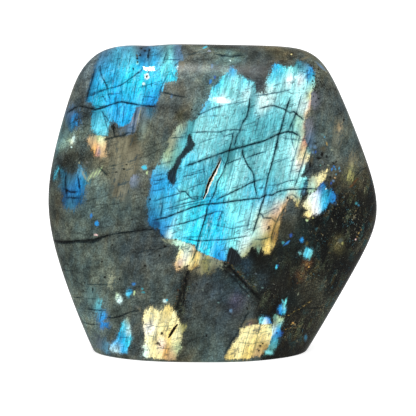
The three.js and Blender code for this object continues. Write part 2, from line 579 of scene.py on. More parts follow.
# Crystals of the show face, from the top left round to the bottom right.
CRYSTALS = crystals(
    # The azure crystal at the top left.
    (0.4, 0.5, ((-44.5, 118), (-46, 113.5), (-46.8, 110), (-47.5, 107), (-48.2, 104.5),
      (-48.5, 101.5), (-46.5, 100.6), (-45.3, 99.5), (-46.5, 97.5), (-47, 93), (-46, 90),
      (-44, 88.5), (-40.2, 89), (-40, 91), (-39.2, 94.3), (-37.2, 94.6), (-36, 92.6),
      (-33.6, 92.2), (-31.6, 93.4), (-30.4, 96.5), (-29, 99.6), (-26, 100.4), (-22.5, 100.3),
      (-21, 102.5), (-20.4, 105), (-18.9, 106.8), (-18.8, 108), (-17, 109.5), (-14.6, 109.3),
      (-14, 111), (-13.8, 114), (-13.3, 116.3), (-11.2, 117.3), (-11.6, 119), (-12.6, 121.6),
      (-13.5, 125), (-19, 131), (-24, 127), (-29, 133), (-35, 128), (-41, 126), (-44, 119.5)),
     (T.PETROL, (-47.5, 106, 1.2), (-44.8, 98, 1.4)), (T.NAVY, (-45.9, 113, 1)),
     (T.ASH, (-44.5, 117.3, 2.2), (-47, 114.3, 1.6), (-40, 120, 2.2), (-30, 121.5, 1.8)),
     (T.BRIGHT, (-43, 112, 2.5), (-45, 105, 2), (-38, 112, 3), (-38, 104, 2), (-31, 103, 2),
      (-37, 99, 2), (-32, 98.5, 2), (-34, 94.3, 1.6), (-20.5, 107, 1.5), (-22, 116.5, 1.8)),
     (T.DUSK, (-27, 120.4, 1.2)), (T.FERN, (-24.8, 118.6, 0.9)), (T.STEEL, (-24.7, 116.6, 0.8)),
     (T.CYAN, (-42, 108.5, 1.6), (-44, 102, 1.4), (-40, 106, 1), (-34, 113, 2), (-30, 112, 1.5),
      (-31, 107, 2.5), (-25, 109, 2.5), (-19, 111, 1.6), (-15.5, 112, 1.5)),
     (T.SKY, (-37, 117, 2), (-43, 93.5, 2), (-32.5, 118, 1.6)), (T.AZURE, (-24, 104, 2),
      (-27, 116, 1.6)), (T.TURQUOISE, (-42, 90, 1.6)), (T.ROYAL, (-24, 101, 1.4)),
     (T.FROST, (-18, 115, 1.6)), (T.SLATE, (-13.5, 118, 1.5), (-34, 121, 1.4)),
     (T.LICHEN, (-20, 121, 1.8))),
    # The big crystal in the middle, cyan below, turquoise and pale above, gold at its rim.
    (0.35, 0.55, ((-22, 53.8), (-24.5, 55), (-24.9, 56.5), (-24.5, 58), (-25.2, 62),
      (-25, 64.5), (-24.3, 66.5), (-23.5, 71), (-23.7, 73), (-23.3, 75), (-21, 78), (-20, 79),
      (-18.5, 82.5), (-16.5, 88), (-14, 92), (-11.3, 94.2), (-10.3, 95), (-8, 94.5), (-6, 95.5),
      (-4.5, 97.8), (-3, 101), (-1, 105), (0.3, 107.8), (1.8, 108.5), (3.3, 111), (5.3, 112.9),
      (7, 114.5), (8, 114.5), (9.2, 113.3), (10, 111.3), (12, 111), (13.5, 109.7),
      (15.5, 109.2), (16.3, 106.5), (16.5, 105.3), (20, 105.2), (21, 109.5), (22.5, 113.5),
      (24.3, 115.8), (27.5, 114.5), (31, 114.8), (32.3, 117), (36.5, 116.3), (38.3, 113.8),
      (39, 112.5), (39, 108), (38, 104.8), (37.7, 101), (37.2, 99), (35.5, 96), (35, 94),
      (35.3, 90), (35.2, 88), (36.3, 85.2), (37.5, 82.5), (36.3, 79), (35, 76.3), (33.6, 73),
      (36.4, 73), (35.5, 70), (34, 67.5), (33.3, 65), (32.3, 61.8), (31.5, 64), (30.5, 65.3),
      (29, 65), (27.8, 62), (26.3, 58.5), (25, 53.5), (24.3, 48), (21.7, 43.9), (19.6, 44.4),
      (18.6, 46.2), (17.6, 44.2), (16.2, 46.6), (14.3, 46.3), (12.7, 43.7), (12.3, 42.8),
      (10.8, 43), (9.2, 45.3), (7, 46.7), (6.2, 46.3), (5.3, 43.5), (5, 40.8), (2, 41.3),
      (-1, 43), (-4.5, 44.7), (-6.3, 45.5), (-7, 47.3), (-11, 48.7), (-14, 49.7), (-18, 49.8),
      (-19.5, 51.5), (-20.5, 53)),
     # The azure left side and the cyan bottom.
     (T.NAVY, (-22.3, 55.8, 1.5)), (T.PETROL, (-24.6, 61, 1.2), (-24, 66.5, 1.8)),
     (T.AZURE, (-21.5, 60.5, 1.8), (-21, 72, 2), (2.5, 43.5, 1.6)), (T.SKY, (-20.5, 64, 1.6),
      (-18, 62, 2.2), (-13, 62, 2.2), (-13, 51, 1.4), (9, 55.5, 2.2), (-8, 72, 2.4),
      (-11, 76, 2), (-4, 74, 2)), (T.TURQUOISE, (-20, 76.5, 1.8)), (T.ROYAL, (-18, 55.5, 1.8)),
     (T.BRIGHT, (-15.5, 58, 1.8), (-16, 67.5, 2), (-19.5, 69, 1.6), (2, 48, 2), (1, 61.5, 2.2)),
     (T.FROST, (-13, 56, 2.2), (8, 50, 2), (9, 61, 2.4), (-11, 66.5, 1.8)),
     (T.ICE, (-16.4, 51.3, 0.9)), (T.CYAN, (-8, 51, 2), (-7, 56.5, 2.8), (-2, 53, 2.2),
      (3, 53.5, 2.4), (-2, 46, 1.6), (-6, 62.5, 2.2)), (T.GLACIER, (13, 57, 1.8)),
     (T.TEAL, (-5, 69.2, 1.6), (-6.5, 66.8, 0.9)),
     # The pale tips at the bottom right.
     (T.MOSS, (12.5, 44.8, 1.2), (16.5, 49.3, 1.2), (19.8, 50.8, 1)), (T.ICE, (12, 49, 1.6),
      (19.5, 61.9, 1.2), (30.8, 68.2, 1)), (T.AQUA, (17, 53.5, 1.6), (23.5, 64, 1.5)),
     (T.CREAM, (18.5, 55.5, 1.6), (30.5, 66, 1.1)), (T.OLIVE, (18.6, 47.8, 1.1),
      (15.6, 47.6, 1)), (T.JADE, (17.6, 45.2, 0.9)), (T.GOLD, (20.8, 46.5, 1.3),
      (32.3, 63.2, 0.9)), (T.BRONZE, (22.8, 50.5, 1.1)), (T.AMBER, (21.3, 57.5, 1.5),
      (27, 60.8, 1)), (T.BRASS, (24, 56.5, 1.3), (23.3, 57.4, 1)), (T.FROST, (20, 61, 1.6)),
     (T.SAND, (25, 61.5, 1.3)), (T.PINK, (23.8, 60.7, 1.4), (19.4, 55.2, 1.2)),
     (T.ORANGE, (29.2, 64.4, 1)), (T.TURQUOISE, (33.5, 67.5, 1.3), (27, 67.5, 1.5)),
     (T.SKY, (23, 68.5, 1.6)),
     # The turquoise middle, with paler lamellae to the right.
     (T.CYAN, (3, 67, 1.8)), (T.FROST, (4.5, 72, 1.8), (31.5, 71.3, 1.6), (34.8, 76, 0.9)),
     (T.AQUA, (8.5, 70, 2.4), (10.5, 76, 2), (19, 80, 2.2), (27, 72, 2.2), (27.5, 78, 2),
      (27.5, 84.5, 1.8), (-4, 84, 2), (-4, 88.5, 2), (-2.5, 94, 2.2), (3, 97, 2.2),
      (6, 92.5, 2), (24, 84.5, 1.8), (30.8, 88.5, 1.2)), (T.TURQUOISE, (6.8, 75.5, 0.8),
      (12.6, 73, 0.8), (17, 75, 2), (13.5, 81, 2), (22, 74, 2), (36.8, 83, 0.6), (1, 84, 2),
      (4.5, 88, 2), (10.5, 87.5, 1.6), (9.5, 96, 2), (15, 91, 2.2), (21.5, 92, 2.4),
      (23, 97, 2), (27.5, 93, 1.8)), (T.SKY, (14.5, 69, 2), (12, 64.5, 2), (18.5, 67.5, 1.6),
      (-7, 80.5, 2), (2, 78.7, 1.2)), (T.BRIGHT, (20.5, 64.8, 1.6)), (T.ICE, (32, 76, 1.6),
      (31, 83, 1.2)), (T.CREAM, (33.6, 80.3, 1.1), (36.2, 81, 0.7)),
     (T.COPPER, (35.2, 86.6, 0.7), (35.3, 93, 0.6)), (T.SAGE, (34.3, 90.6, 0.8)),
     (T.SAND, (34.2, 84, 0.9), (35.2, 78.6, 0.7)), (T.MINT, (32.3, 87, 1), (33.2, 93.5, 1)),
     (T.PINK, (33.2, 77.5, 0.9)), (T.TEAL, (6, 81.5, 1.8), (-8.5, 92, 1.4), (18, 86.3, 1),
      (13, 84, 0.8), (25.4, 97, 0.8), (22.5, 86.5, 0.8)), (T.JADE, (31.5, 93, 1.6)),
     # The two lobes at the top, bright cyan and almost white. The white dabs at (3.6, 103),
     # (29.3, 110.3) and (33.6, 109.8) and the ice dab at (12.8, 105.5) are partly painted
     # highlights: they whiten the flash where the lamps' reflections fall.
     (T.SKY, (-1, 100, 1.4), (-0.2, 96.3, 0.7), (34.7, 112.6, 0.9)), (T.FROST, (0.8, 104, 1.3),
      (5.5, 109, 1.6), (29, 113.6, 1.1), (31.4, 112.8, 1.1)), (T.BRIGHT, (-1.4, 103.4, 0.7),
      (-3.6, 99.7, 0.7), (1.4, 108.2, 0.7), (24.4, 114.6, 0.9)), (T.WHITE, (3.6, 103, 0.8),
      (29.3, 110.3, 0.9), (33.6, 109.8, 0.9)), (T.AQUA, (4.5, 105.5, 1.5), (9.5, 108.5, 1.5),
      (9, 102.5, 2), (26, 102.5, 1.5), (28, 99.5, 1.4)), (T.CYAN, (2.5, 108, 1.4),
      (12.5, 108.6, 1.3), (22.6, 111, 0.8), (26, 113.4, 1.3), (24.6, 111, 1.1),
      (37.8, 109.9, 0.8)), (T.AZURE, (7, 113.2, 1.3), (37.6, 112.6, 0.9), (36.8, 111, 0.6)),
     (T.ICE, (12.8, 105.5, 1.3), (19, 102.3, 1.5), (22.3, 103, 1.3), (34.5, 101.5, 1.4),
      (35.2, 100.5, 0.8)), (T.TURQUOISE, (15.3, 107, 1), (15, 101, 1.8)),
     (T.GLACIER, (31, 102, 1.5), (23.5, 108, 1.6), (27, 108.5, 1.3), (31.4, 109.5, 0.8),
      (34.5, 106, 1.6)), (T.PETROL, (32.8, 115.4, 1.1)), (T.ASH, (35.4, 115, 0.9)),
     (T.STEEL, (36.6, 114, 0.8)), (T.MINT, (37.8, 107.6, 0.8)), (T.LEAF, (36.2, 103.5, 0.8)),
     (T.GOLD, (37.4, 104, 0.6)), (T.COPPER, (37, 101, 0.6)), (T.SAND, (36.2, 97.5, 0.8)),
     # The yellow-green part beside the gash.
     (T.SAGE, (-12, 93, 1.3), (-14, 89.5, 1.2), (-16, 85.5, 1.2)), (T.MINT, (-12.8, 91, 0.8)),
     (T.TURQUOISE, (-12, 87.5, 1.2)), (T.JADE, (-13.8, 83.5, 1.2), (-15.5, 79.5, 1.2)),
     (T.LEAF, (-18, 81, 1.3))),
    # Smaller crystals, from the top left round to the bottom right.
    (1.2, 0.9, ((-28, 97.5), (-27, 99.6), (-23, 99.7), (-23.4, 97), (-24.6, 94), (-25, 91),
      (-26, 88.2), (-27.8, 88), (-28, 91), (-27.6, 95)),
     (T.ASH, (-26.4, 97, 1.2)), (T.PETROL, (-24.5, 98.7, 1)), (T.MIST, (-26.2, 93, 1.2)),
     (T.SAGE, (-24.4, 90.2, 1))),
    # The lilac fringe where the azure crystal fades down to the right.
    (1.3, 0.8, ((-34.5, 92.8), (-31.8, 94.2), (-30.4, 97.2), (-28.8, 100), (-26.8, 101),
      (-27.6, 97.5), (-28.8, 93), (-31, 90.2), (-33.6, 89.6), (-36, 90)),
     (T.SLATE, (-31.5, 92.5, 1), (-28.4, 98.8, 0.9)), (T.LILAC, (-29.8, 95.5, 1)),
     (T.ASH, (-34.5, 91, 1))),
    # The olive-brown column below it, sharp at its left.
    (1.3, 0.25, ((-38.4, 65.8), (-38.4, 77.5), (-37.2, 86), (-33.5, 88), (-30, 89), (-27.6, 84),
      (-28.5, 77), (-31, 72), (-32, 67), (-34.5, 64.5)),
     (T.TAUPE, (-36.5, 68.5, 1.6), (-31.2, 82, 1.2), (-30, 75, 1.5)), (T.DRAB, (-36.5, 75, 1.6),
      (-33, 70.5, 1.6)), (T.KHAKI, (-35.5, 81, 1.8), (-34, 86, 1.2), (-32.8, 76.5, 1.6)),
     (T.UMBER, (-31.2, 86.5, 1))),
    (0.5, 0.45, ((-48.2, 87.2), (-46.5, 88.6), (-43.5, 89), (-41.4, 87.8), (-41.2, 84),
      (-41.2, 81.2), (-42.7, 80.5), (-45.1, 81.3), (-46.1, 83.2), (-47.2, 85)),
     (T.SAGE, (-46, 88.2, 0.8)), (T.LEAF, (-43, 88.4, 0.8)), (T.SAND, (-47.2, 86.6, 0.8),
      (-45.8, 85.6, 0.8), (-42, 84, 0.7), (-42.3, 81.6, 0.5)), (T.CREAM, (-42.7, 86, 0.7)),
     (T.AMBER, (-45.4, 83.4, 0.7)), (T.COPPER, (-43.9, 84.2, 0.6), (-44.4, 81.7, 0.5)),
     (T.LILAC, (-43.8, 82.6, 0.4))),
    (1.3, 1.2, ((-56.5, 97.5), (-54.8, 99), (-53, 96), (-53, 92.5), (-54.3, 90.4),
      (-56.8, 90.8), (-57.8, 93.5)),
     (T.AZURE, (-53.8, 93.4, 0.8)), (T.SLATE, (-56, 96.5, 1)), (T.NAVY, (-56, 93.4, 1)),
     (T.LICHEN, (-57.4, 91.6, 1)), (T.PETROL, (-54.8, 91.5, 0.8))),
    (0.4, 0.2, ((-56, 86.4), (-54.7, 87), (-53.3, 88.1), (-53.5, 86.2), (-54.1, 84.9),
      (-55.3, 85)),
     (T.ICE, (-54, 86, 0.8)), (T.LEAF, (-55.6, 86, 0.6)), (T.CREAM, (-54.6, 85.2, 0.5))),
    (0.9, 0.9, ((-58.8, 74), (-55, 73.5), (-53, 73.8), (-51.3, 76.3), (-50, 75), (-48.2, 72),
      (-48, 70.8), (-49.3, 68.5), (-50.3, 65.5), (-50.5, 63), (-52.5, 60.8), (-54, 59.5),
      (-56, 59.5), (-58, 60.5), (-58.5, 63), (-57.8, 64.5), (-59.2, 68)),
     (T.PETROL, (-57.8, 71, 1.4), (-54.6, 69.8, 1.2), (-54.5, 62.5, 1.4)),
     (T.ROYAL, (-54.5, 67.3, 1)), (T.AZURE, (-51, 70, 1.2), (-51.8, 66.8, 1.3)),
     (T.TEAL, (-49.3, 71.5, 1)), (T.STEEL, (-50.8, 74.3, 1)), (T.DUSK, (-54.5, 73.6, 1)),
     (T.NAVY, (-57.5, 64.5, 1.4), (-52.5, 62.5, 1))),
    (0.5, 0.4, ((-60.4, 75.6), (-61.6, 73.5), (-62, 70.6), (-61.2, 70.8), (-60.8, 73),
      (-59.6, 74.8)),
     (T.SKY, (-61, 73.5, 2))),
    (1, 0.5, ((-32, 69.2), (-32.2, 72.5), (-30.6, 75), (-28.6, 73.5), (-29, 70)),
     (T.LILAC, (-30.8, 73, 1.3)), (T.ASH, (-30, 70.6, 0.8))),
    # The gold patch and its olive fringe below the big crystal.
    (0.35, 0.5, ((-19.3, 49.6), (-18.2, 48.2), (-15, 47.4), (-12.3, 47.3), (-13, 45),
      (-13.9, 42.8), (-13.7, 41.3), (-14.6, 39.6), (-14.3, 37.6), (-12.2, 37.2), (-11, 38.8),
      (-9.6, 39.4), (-8.9, 37.4), (-7.4, 37.2), (-6.2, 38.6), (-4.6, 39.8), (-4.6, 41.2),
      (-2.5, 41.3), (-2.2, 43.3), (-4.5, 44.4), (-6.3, 45.3), (-7, 47.1), (-11, 48.5),
      (-14, 49.5), (-18, 49.7)),
     (T.SAGE, (-17, 48.8, 1.3), (-3.5, 42.5, 1)), (T.MINT, (-13.5, 48.5, 1.2), (-9.5, 46.7, 1)),
     (T.ICE, (-9.6, 44.6, 1)), (T.CREAM, (-9.6, 42, 1.6), (-12.3, 43.3, 0.8)),
     (T.WHITE, (-10.6, 42.4, 0.8)), (T.PINK, (-12.4, 40.6, 0.6)), (T.GOLD, (-7.9, 40.6, 0.7),
      (-6.3, 42.5, 0.8)), (T.BRONZE, (-7.6, 38.7, 1)), (T.SAND, (-13, 38.5, 1),
      (-7.5, 45.2, 0.8))),
    (0.7, 1.3, ((-8, 37.2), (-5, 36.4), (-1, 36.8), (4, 39), (5.6, 41), (2, 42.2), (-2, 43.6),
      (-4.5, 42.5), (-5, 40)),
     (T.MOSS, (-2.8, 40, 1.2)), (T.SAGE, (2.5, 40.7, 1), (0, 41.3, 1)),
     (T.TAUPE, (-4.5, 38.5, 1.2)), (T.UMBER, (0.5, 38.8, 1.2))),
    # To the right of the big crystal.
    (0.5, 0.6, ((44.3, 75.4), (42.3, 74.8), (40.4, 73.3), (38.6, 73.6), (37.3, 72), (36.7, 69),
      (37, 67), (39, 67.2), (40.2, 69.5), (42.8, 71.5), (43.7, 73.5)),
     (T.CREAM, (42.6, 73.8, 1.3), (40.9, 71.8, 1)), (T.SAGE, (38.6, 71.5, 1.3)),
     (T.MINT, (38, 68.5, 1.2))),
    (0.5, 0.5, ((33.8, 66.8), (34.3, 70.5), (34.8, 72.6), (36.2, 72.4), (36.2, 70), (35.4, 67)),
     (T.TEAL, (35.3, 71.3, 1.4)), (T.SLATE, (34.8, 68, 1))),
    (0.35, 0.45, ((40.5, 68), (38, 66.8), (36.5, 65.5), (34.7, 63), (34.8, 62), (36.5, 60.5),
      (35.3, 58.3), (37, 57.5), (38, 58.5), (41.5, 59), (43.5, 61.3), (44, 63), (47, 62.8),
      (47.5, 65), (46, 67.8), (44, 68), (43.2, 70.3), (42.3, 71.3), (41.2, 70)),
     (T.ICE, (37.8, 64, 1.1)), (T.CREAM, (36.5, 62.3, 1)), (T.GOLD, (37, 59, 1)),
     (T.WHITE, (39.6, 61, 1.2), (39.6, 65.3, 1.1)), (T.CYAN, (42.4, 64.5, 1.5)),
     (T.BRIGHT, (43.3, 62, 0.9)), (T.ROYAL, (45.8, 65, 1.2), (41.6, 67.6, 1.2)),
     (T.PETROL, (43.7, 67.5, 1)), (T.INDIGO, (42.2, 69.8, 1))),
    (1.1, 0.5, ((37.2, 105), (38.8, 105.6), (40.4, 103.5), (40.6, 101), (39, 99.2),
      (37.8, 100.5)),
     (T.HAZE, (39.2, 101.8, 1.5))),
    (1.6, 0.5, ((35.6, 94.5), (37.5, 95), (38.3, 91), (38.2, 86.5), (36.8, 85), (35.5, 88)),
     (T.HAZE, (36.8, 91, 1.6)), (T.SLATE, (37.6, 87.5, 1))),
    (2, 1, ((46.5, 85.5), (46.7, 89.5), (48, 93), (50.3, 93), (50.8, 89), (49, 85)),
     (T.DRAB, (48.8, 88, 1.2), (47.3, 87, 1)), (T.KHAKI, (48.6, 90.2, 1)),
     (T.SAND, (49, 91.2, 0.5))),
    (1.5, 1.2, ((52, 71.5), (51.7, 75), (52.5, 79), (54.3, 81.5), (55.8, 79), (55, 75),
      (54, 72)),
     (T.TAUPE, (54, 78, 1.5)), (T.MOSS, (53.2, 73.5, 1.2))),
    (0.4, 0.5, ((33.3, 43.6), (34.8, 43.3), (36, 45.4), (37.7, 44.7), (38.5, 42.6),
      (37.6, 41.1), (36, 41.6), (34.8, 42.9)),
     (T.SKY, (36.3, 43.2, 1)), (T.AQUA, (34.2, 43.5, 0.7)), (T.JADE, (37.6, 42, 0.7))),
    # Lower left.
    (0.9, 0.8, ((-49.2, 25), (-48.8, 27.8), (-46, 28.4), (-45, 26), (-43.6, 23.6),
      (-43.3, 20.5), (-42.6, 19.8), (-41.8, 17), (-43.4, 14.9), (-41, 14.3), (-41.3, 12.8),
      (-44, 12.6), (-45, 15), (-45.7, 18.5), (-47.8, 20.5), (-48.7, 22.6)),
     (T.LICHEN, (-47.3, 26.8, 1), (-46.5, 23.5, 1.3)), (T.TURQUOISE, (-44.6, 21.8, 0.9)),
     (T.STEEL, (-44, 18.7, 1.1)), (T.ROYAL, (-43.3, 14.2, 1)), (T.AZURE, (-43, 16.5, 1))),
    (0.4, 0.35, ((-33.2, 17.7), (-35, 15.3), (-36.5, 11.5), (-37.8, 8), (-39.8, 6.3),
      (-40.7, 3.5), (-40, 2.3), (-34, 2.9), (-32.8, 6), (-31.8, 9), (-32.2, 13), (-32.8, 16.8)),
     (T.SAGE, (-33.2, 16.3, 0.9)), (T.CYAN, (-34.8, 13, 1.1), (-33.2, 7.8, 1.1)),
     (T.ICE, (-32.9, 12.3, 0.8), (-38, 3.8, 1)), (T.BRIGHT, (-35.6, 9.5, 1.2), (-37.8, 6, 1),
      (-35, 4.4, 1))),
    (1.2, 1.2, ((-46.5, 3), (-47, 8), (-45, 9.5), (-42.5, 8), (-41, 5.8), (-40.8, 2)),
     (T.ASH, (-44.5, 5.5, 2)), (T.STEEL, (-42, 4.5, 1.1))),
    (0.4, 0.3, ((-38, 25.2), (-37.2, 27.3), (-35.8, 26.2), (-35.4, 24.2), (-36.3, 23),
      (-37.5, 23.8)),
     (T.LEAF, (-36.9, 26.6, 0.8)), (T.ICE, (-36.4, 24.8, 1))),
    (0.4, 0.2, ((-33.8, 27.4), (-32, 29.5), (-31.2, 28.1), (-32.9, 26.1)),
     (T.SKY, (-32.5, 27.4, 1)), (T.AZURE, (-32, 28.8, 0.8))),
    (0.8, 0.8, ((-40.6, 30.5), (-40.3, 33.5), (-39, 35.4), (-38, 34), (-38.6, 31.5),
      (-39.6, 29)),
     (T.SAGE, (-39.4, 32.5, 1.4))),
    # The two gold crystals at the foot.
    (0.35, 0.5, ((-25.5, 21.3), (-24, 22.5), (-22.5, 22), (-20.8, 20.7), (-19.3, 21.7),
      (-17.3, 23.7), (-15.3, 22), (-14, 19), (-12.9, 16.5), (-12, 15.4), (-11, 16), (-10.2, 14),
      (-12, 12.3), (-12.5, 8.5), (-12.3, 6.5), (-13.7, 4), (-14.5, 1.2), (-23, 1.5), (-28, 1.9),
      (-27.2, 4.5), (-26.3, 8), (-26, 11), (-27, 14), (-26.5, 19)),
     (T.CREAM, (-23.5, 20, 1.6), (-21, 17.5, 1.8), (-16, 18, 1.6), (-19, 14.5, 1.8),
      (-23.5, 9, 1.8), (-14, 10, 1.3), (-22.5, 4, 1.6)), (T.GOLD, (-17.3, 21.3, 1.3),
      (-17.5, 11, 1.4)), (T.WHITE, (-24, 14, 1.2)), (T.MOSS, (-12, 13.7, 1)),
     (T.PINK, (-20, 7.8, 1.1)), (T.LEAF, (-14, 6.5, 1.1)), (T.SAND, (-16, 3.4, 1.1)),
     (T.ICE, (-26.5, 4, 1.1)), (T.AMBER, (-18.5, 4.5, 0.8))),
    (0.35, 0.5, ((4.7, 2.3), (6, 5), (7.8, 8), (10.2, 10.5), (10.8, 13.8), (13.5, 14.8),
      (17, 15.5), (22.5, 15), (23.5, 13), (23.3, 10), (21.8, 6), (19.5, 2.8), (14, 1.5),
      (5.5, 1.3)),
     (T.CREAM, (13, 13, 1.8), (18.5, 13, 2.2), (12, 9, 1.8), (9, 5.5, 1.6), (22, 10.5, 1)),
     (T.GOLD, (17.5, 9, 1.8), (7, 3, 1.2), (13.5, 4.5, 1.4)), (T.SAND, (17.5, 3.8, 1.1)),
     (T.LEAF, (22.5, 13.8, 0.9)), (T.BRONZE, (19.8, 6, 1))),
    (0.7, 0.3, ((10.5, 14.8), (12, 16.7), (15.5, 18), (18, 17), (17.6, 15.6), (13.5, 14.9)),
     (T.TAUPE, (13.5, 16.4, 1.5)), (T.COPPER, (14.5, 15, 0.5)), (T.UMBER, (16.5, 16.4, 1))),
    (0.35, 0.3, ((18, 15.5), (17.8, 16.9), (19, 18.4), (21.5, 17.9), (23, 15.5), (20.5, 15.1)),
     (T.FROST, (18.8, 16.8, 0.8)), (T.AZURE, (21, 17.2, 1.2)), (T.WHITE, (20.3, 15.5, 0.7))),
    (0.25, 0.3, ((26.9, 22.9), (28, 22.8), (28.5, 21.1), (28.2, 19.4), (26.7, 18.3),
      (25.6, 19.9), (25.4, 21.6), (26.2, 22.5)),
     (T.AZURE, (26.2, 21.6, 0.6)), (T.FROST, (27.6, 21.9, 0.5)), (T.ROYAL, (27.2, 20.3, 0.6),
      (26.2, 19.4, 0.5)), (T.CYAN, (27.6, 19.2, 0.5))),
    (0.3, 0.5, ((23.9, 18.6), (25.5, 18.2), (27.5, 17.2), (27.2, 15.1), (26.9, 13.8),
      (26.3, 12.4), (27.1, 10.8), (25.8, 9), (25.6, 7), (24.4, 4.6), (22.6, 2.6), (20, 2.3),
      (22, 5.8), (22.6, 9), (22.7, 12.7), (23.3, 15.4)),
     (T.JADE, (24.2, 17.6, 0.8), (22.6, 4, 0.9)), (T.LEAF, (26, 16.8, 0.8)),
     (T.SAGE, (24, 15.4, 0.8)), (T.TURQUOISE, (26, 14.2, 0.7), (24, 7.6, 1)),
     (T.ICE, (23.7, 12.6, 0.7)), (T.AZURE, (25.2, 12.2, 0.7), (24.6, 10, 0.8)),
     (T.INDIGO, (26.4, 10.9, 0.7)), (T.TEAL, (25.4, 7.6, 0.7))),
)

# Dark inclusions inside the crystals: the bluish-black gash, and the notch at the big crystal's
# lower rim.
INCLUSIONS = (
    ((-9.8, 89.3), (-8.7, 90.3), (-7.9, 88.9), (-7.7, 87.4), (-6.5, 86), (-7.7, 83.9),
     (-9.8, 82), (-11.4, 80.4), (-12.4, 78.1), (-13.6, 75.8), (-13.9, 72.2), (-15.3, 69.9),
     (-16.5, 71.5), (-17.5, 73), (-17.3, 75.4), (-15.7, 77.1), (-14.3, 79.3), (-13.1, 81.6),
     (-11.3, 83.9), (-10.2, 85.5), (-9.9, 87.4)),
    ((5.3, 40.3), (5.6, 43.3), (6.3, 46), (7.2, 46.6), (9, 45.2), (10.5, 43), (11, 40.5),
     (8, 39.5)),
)

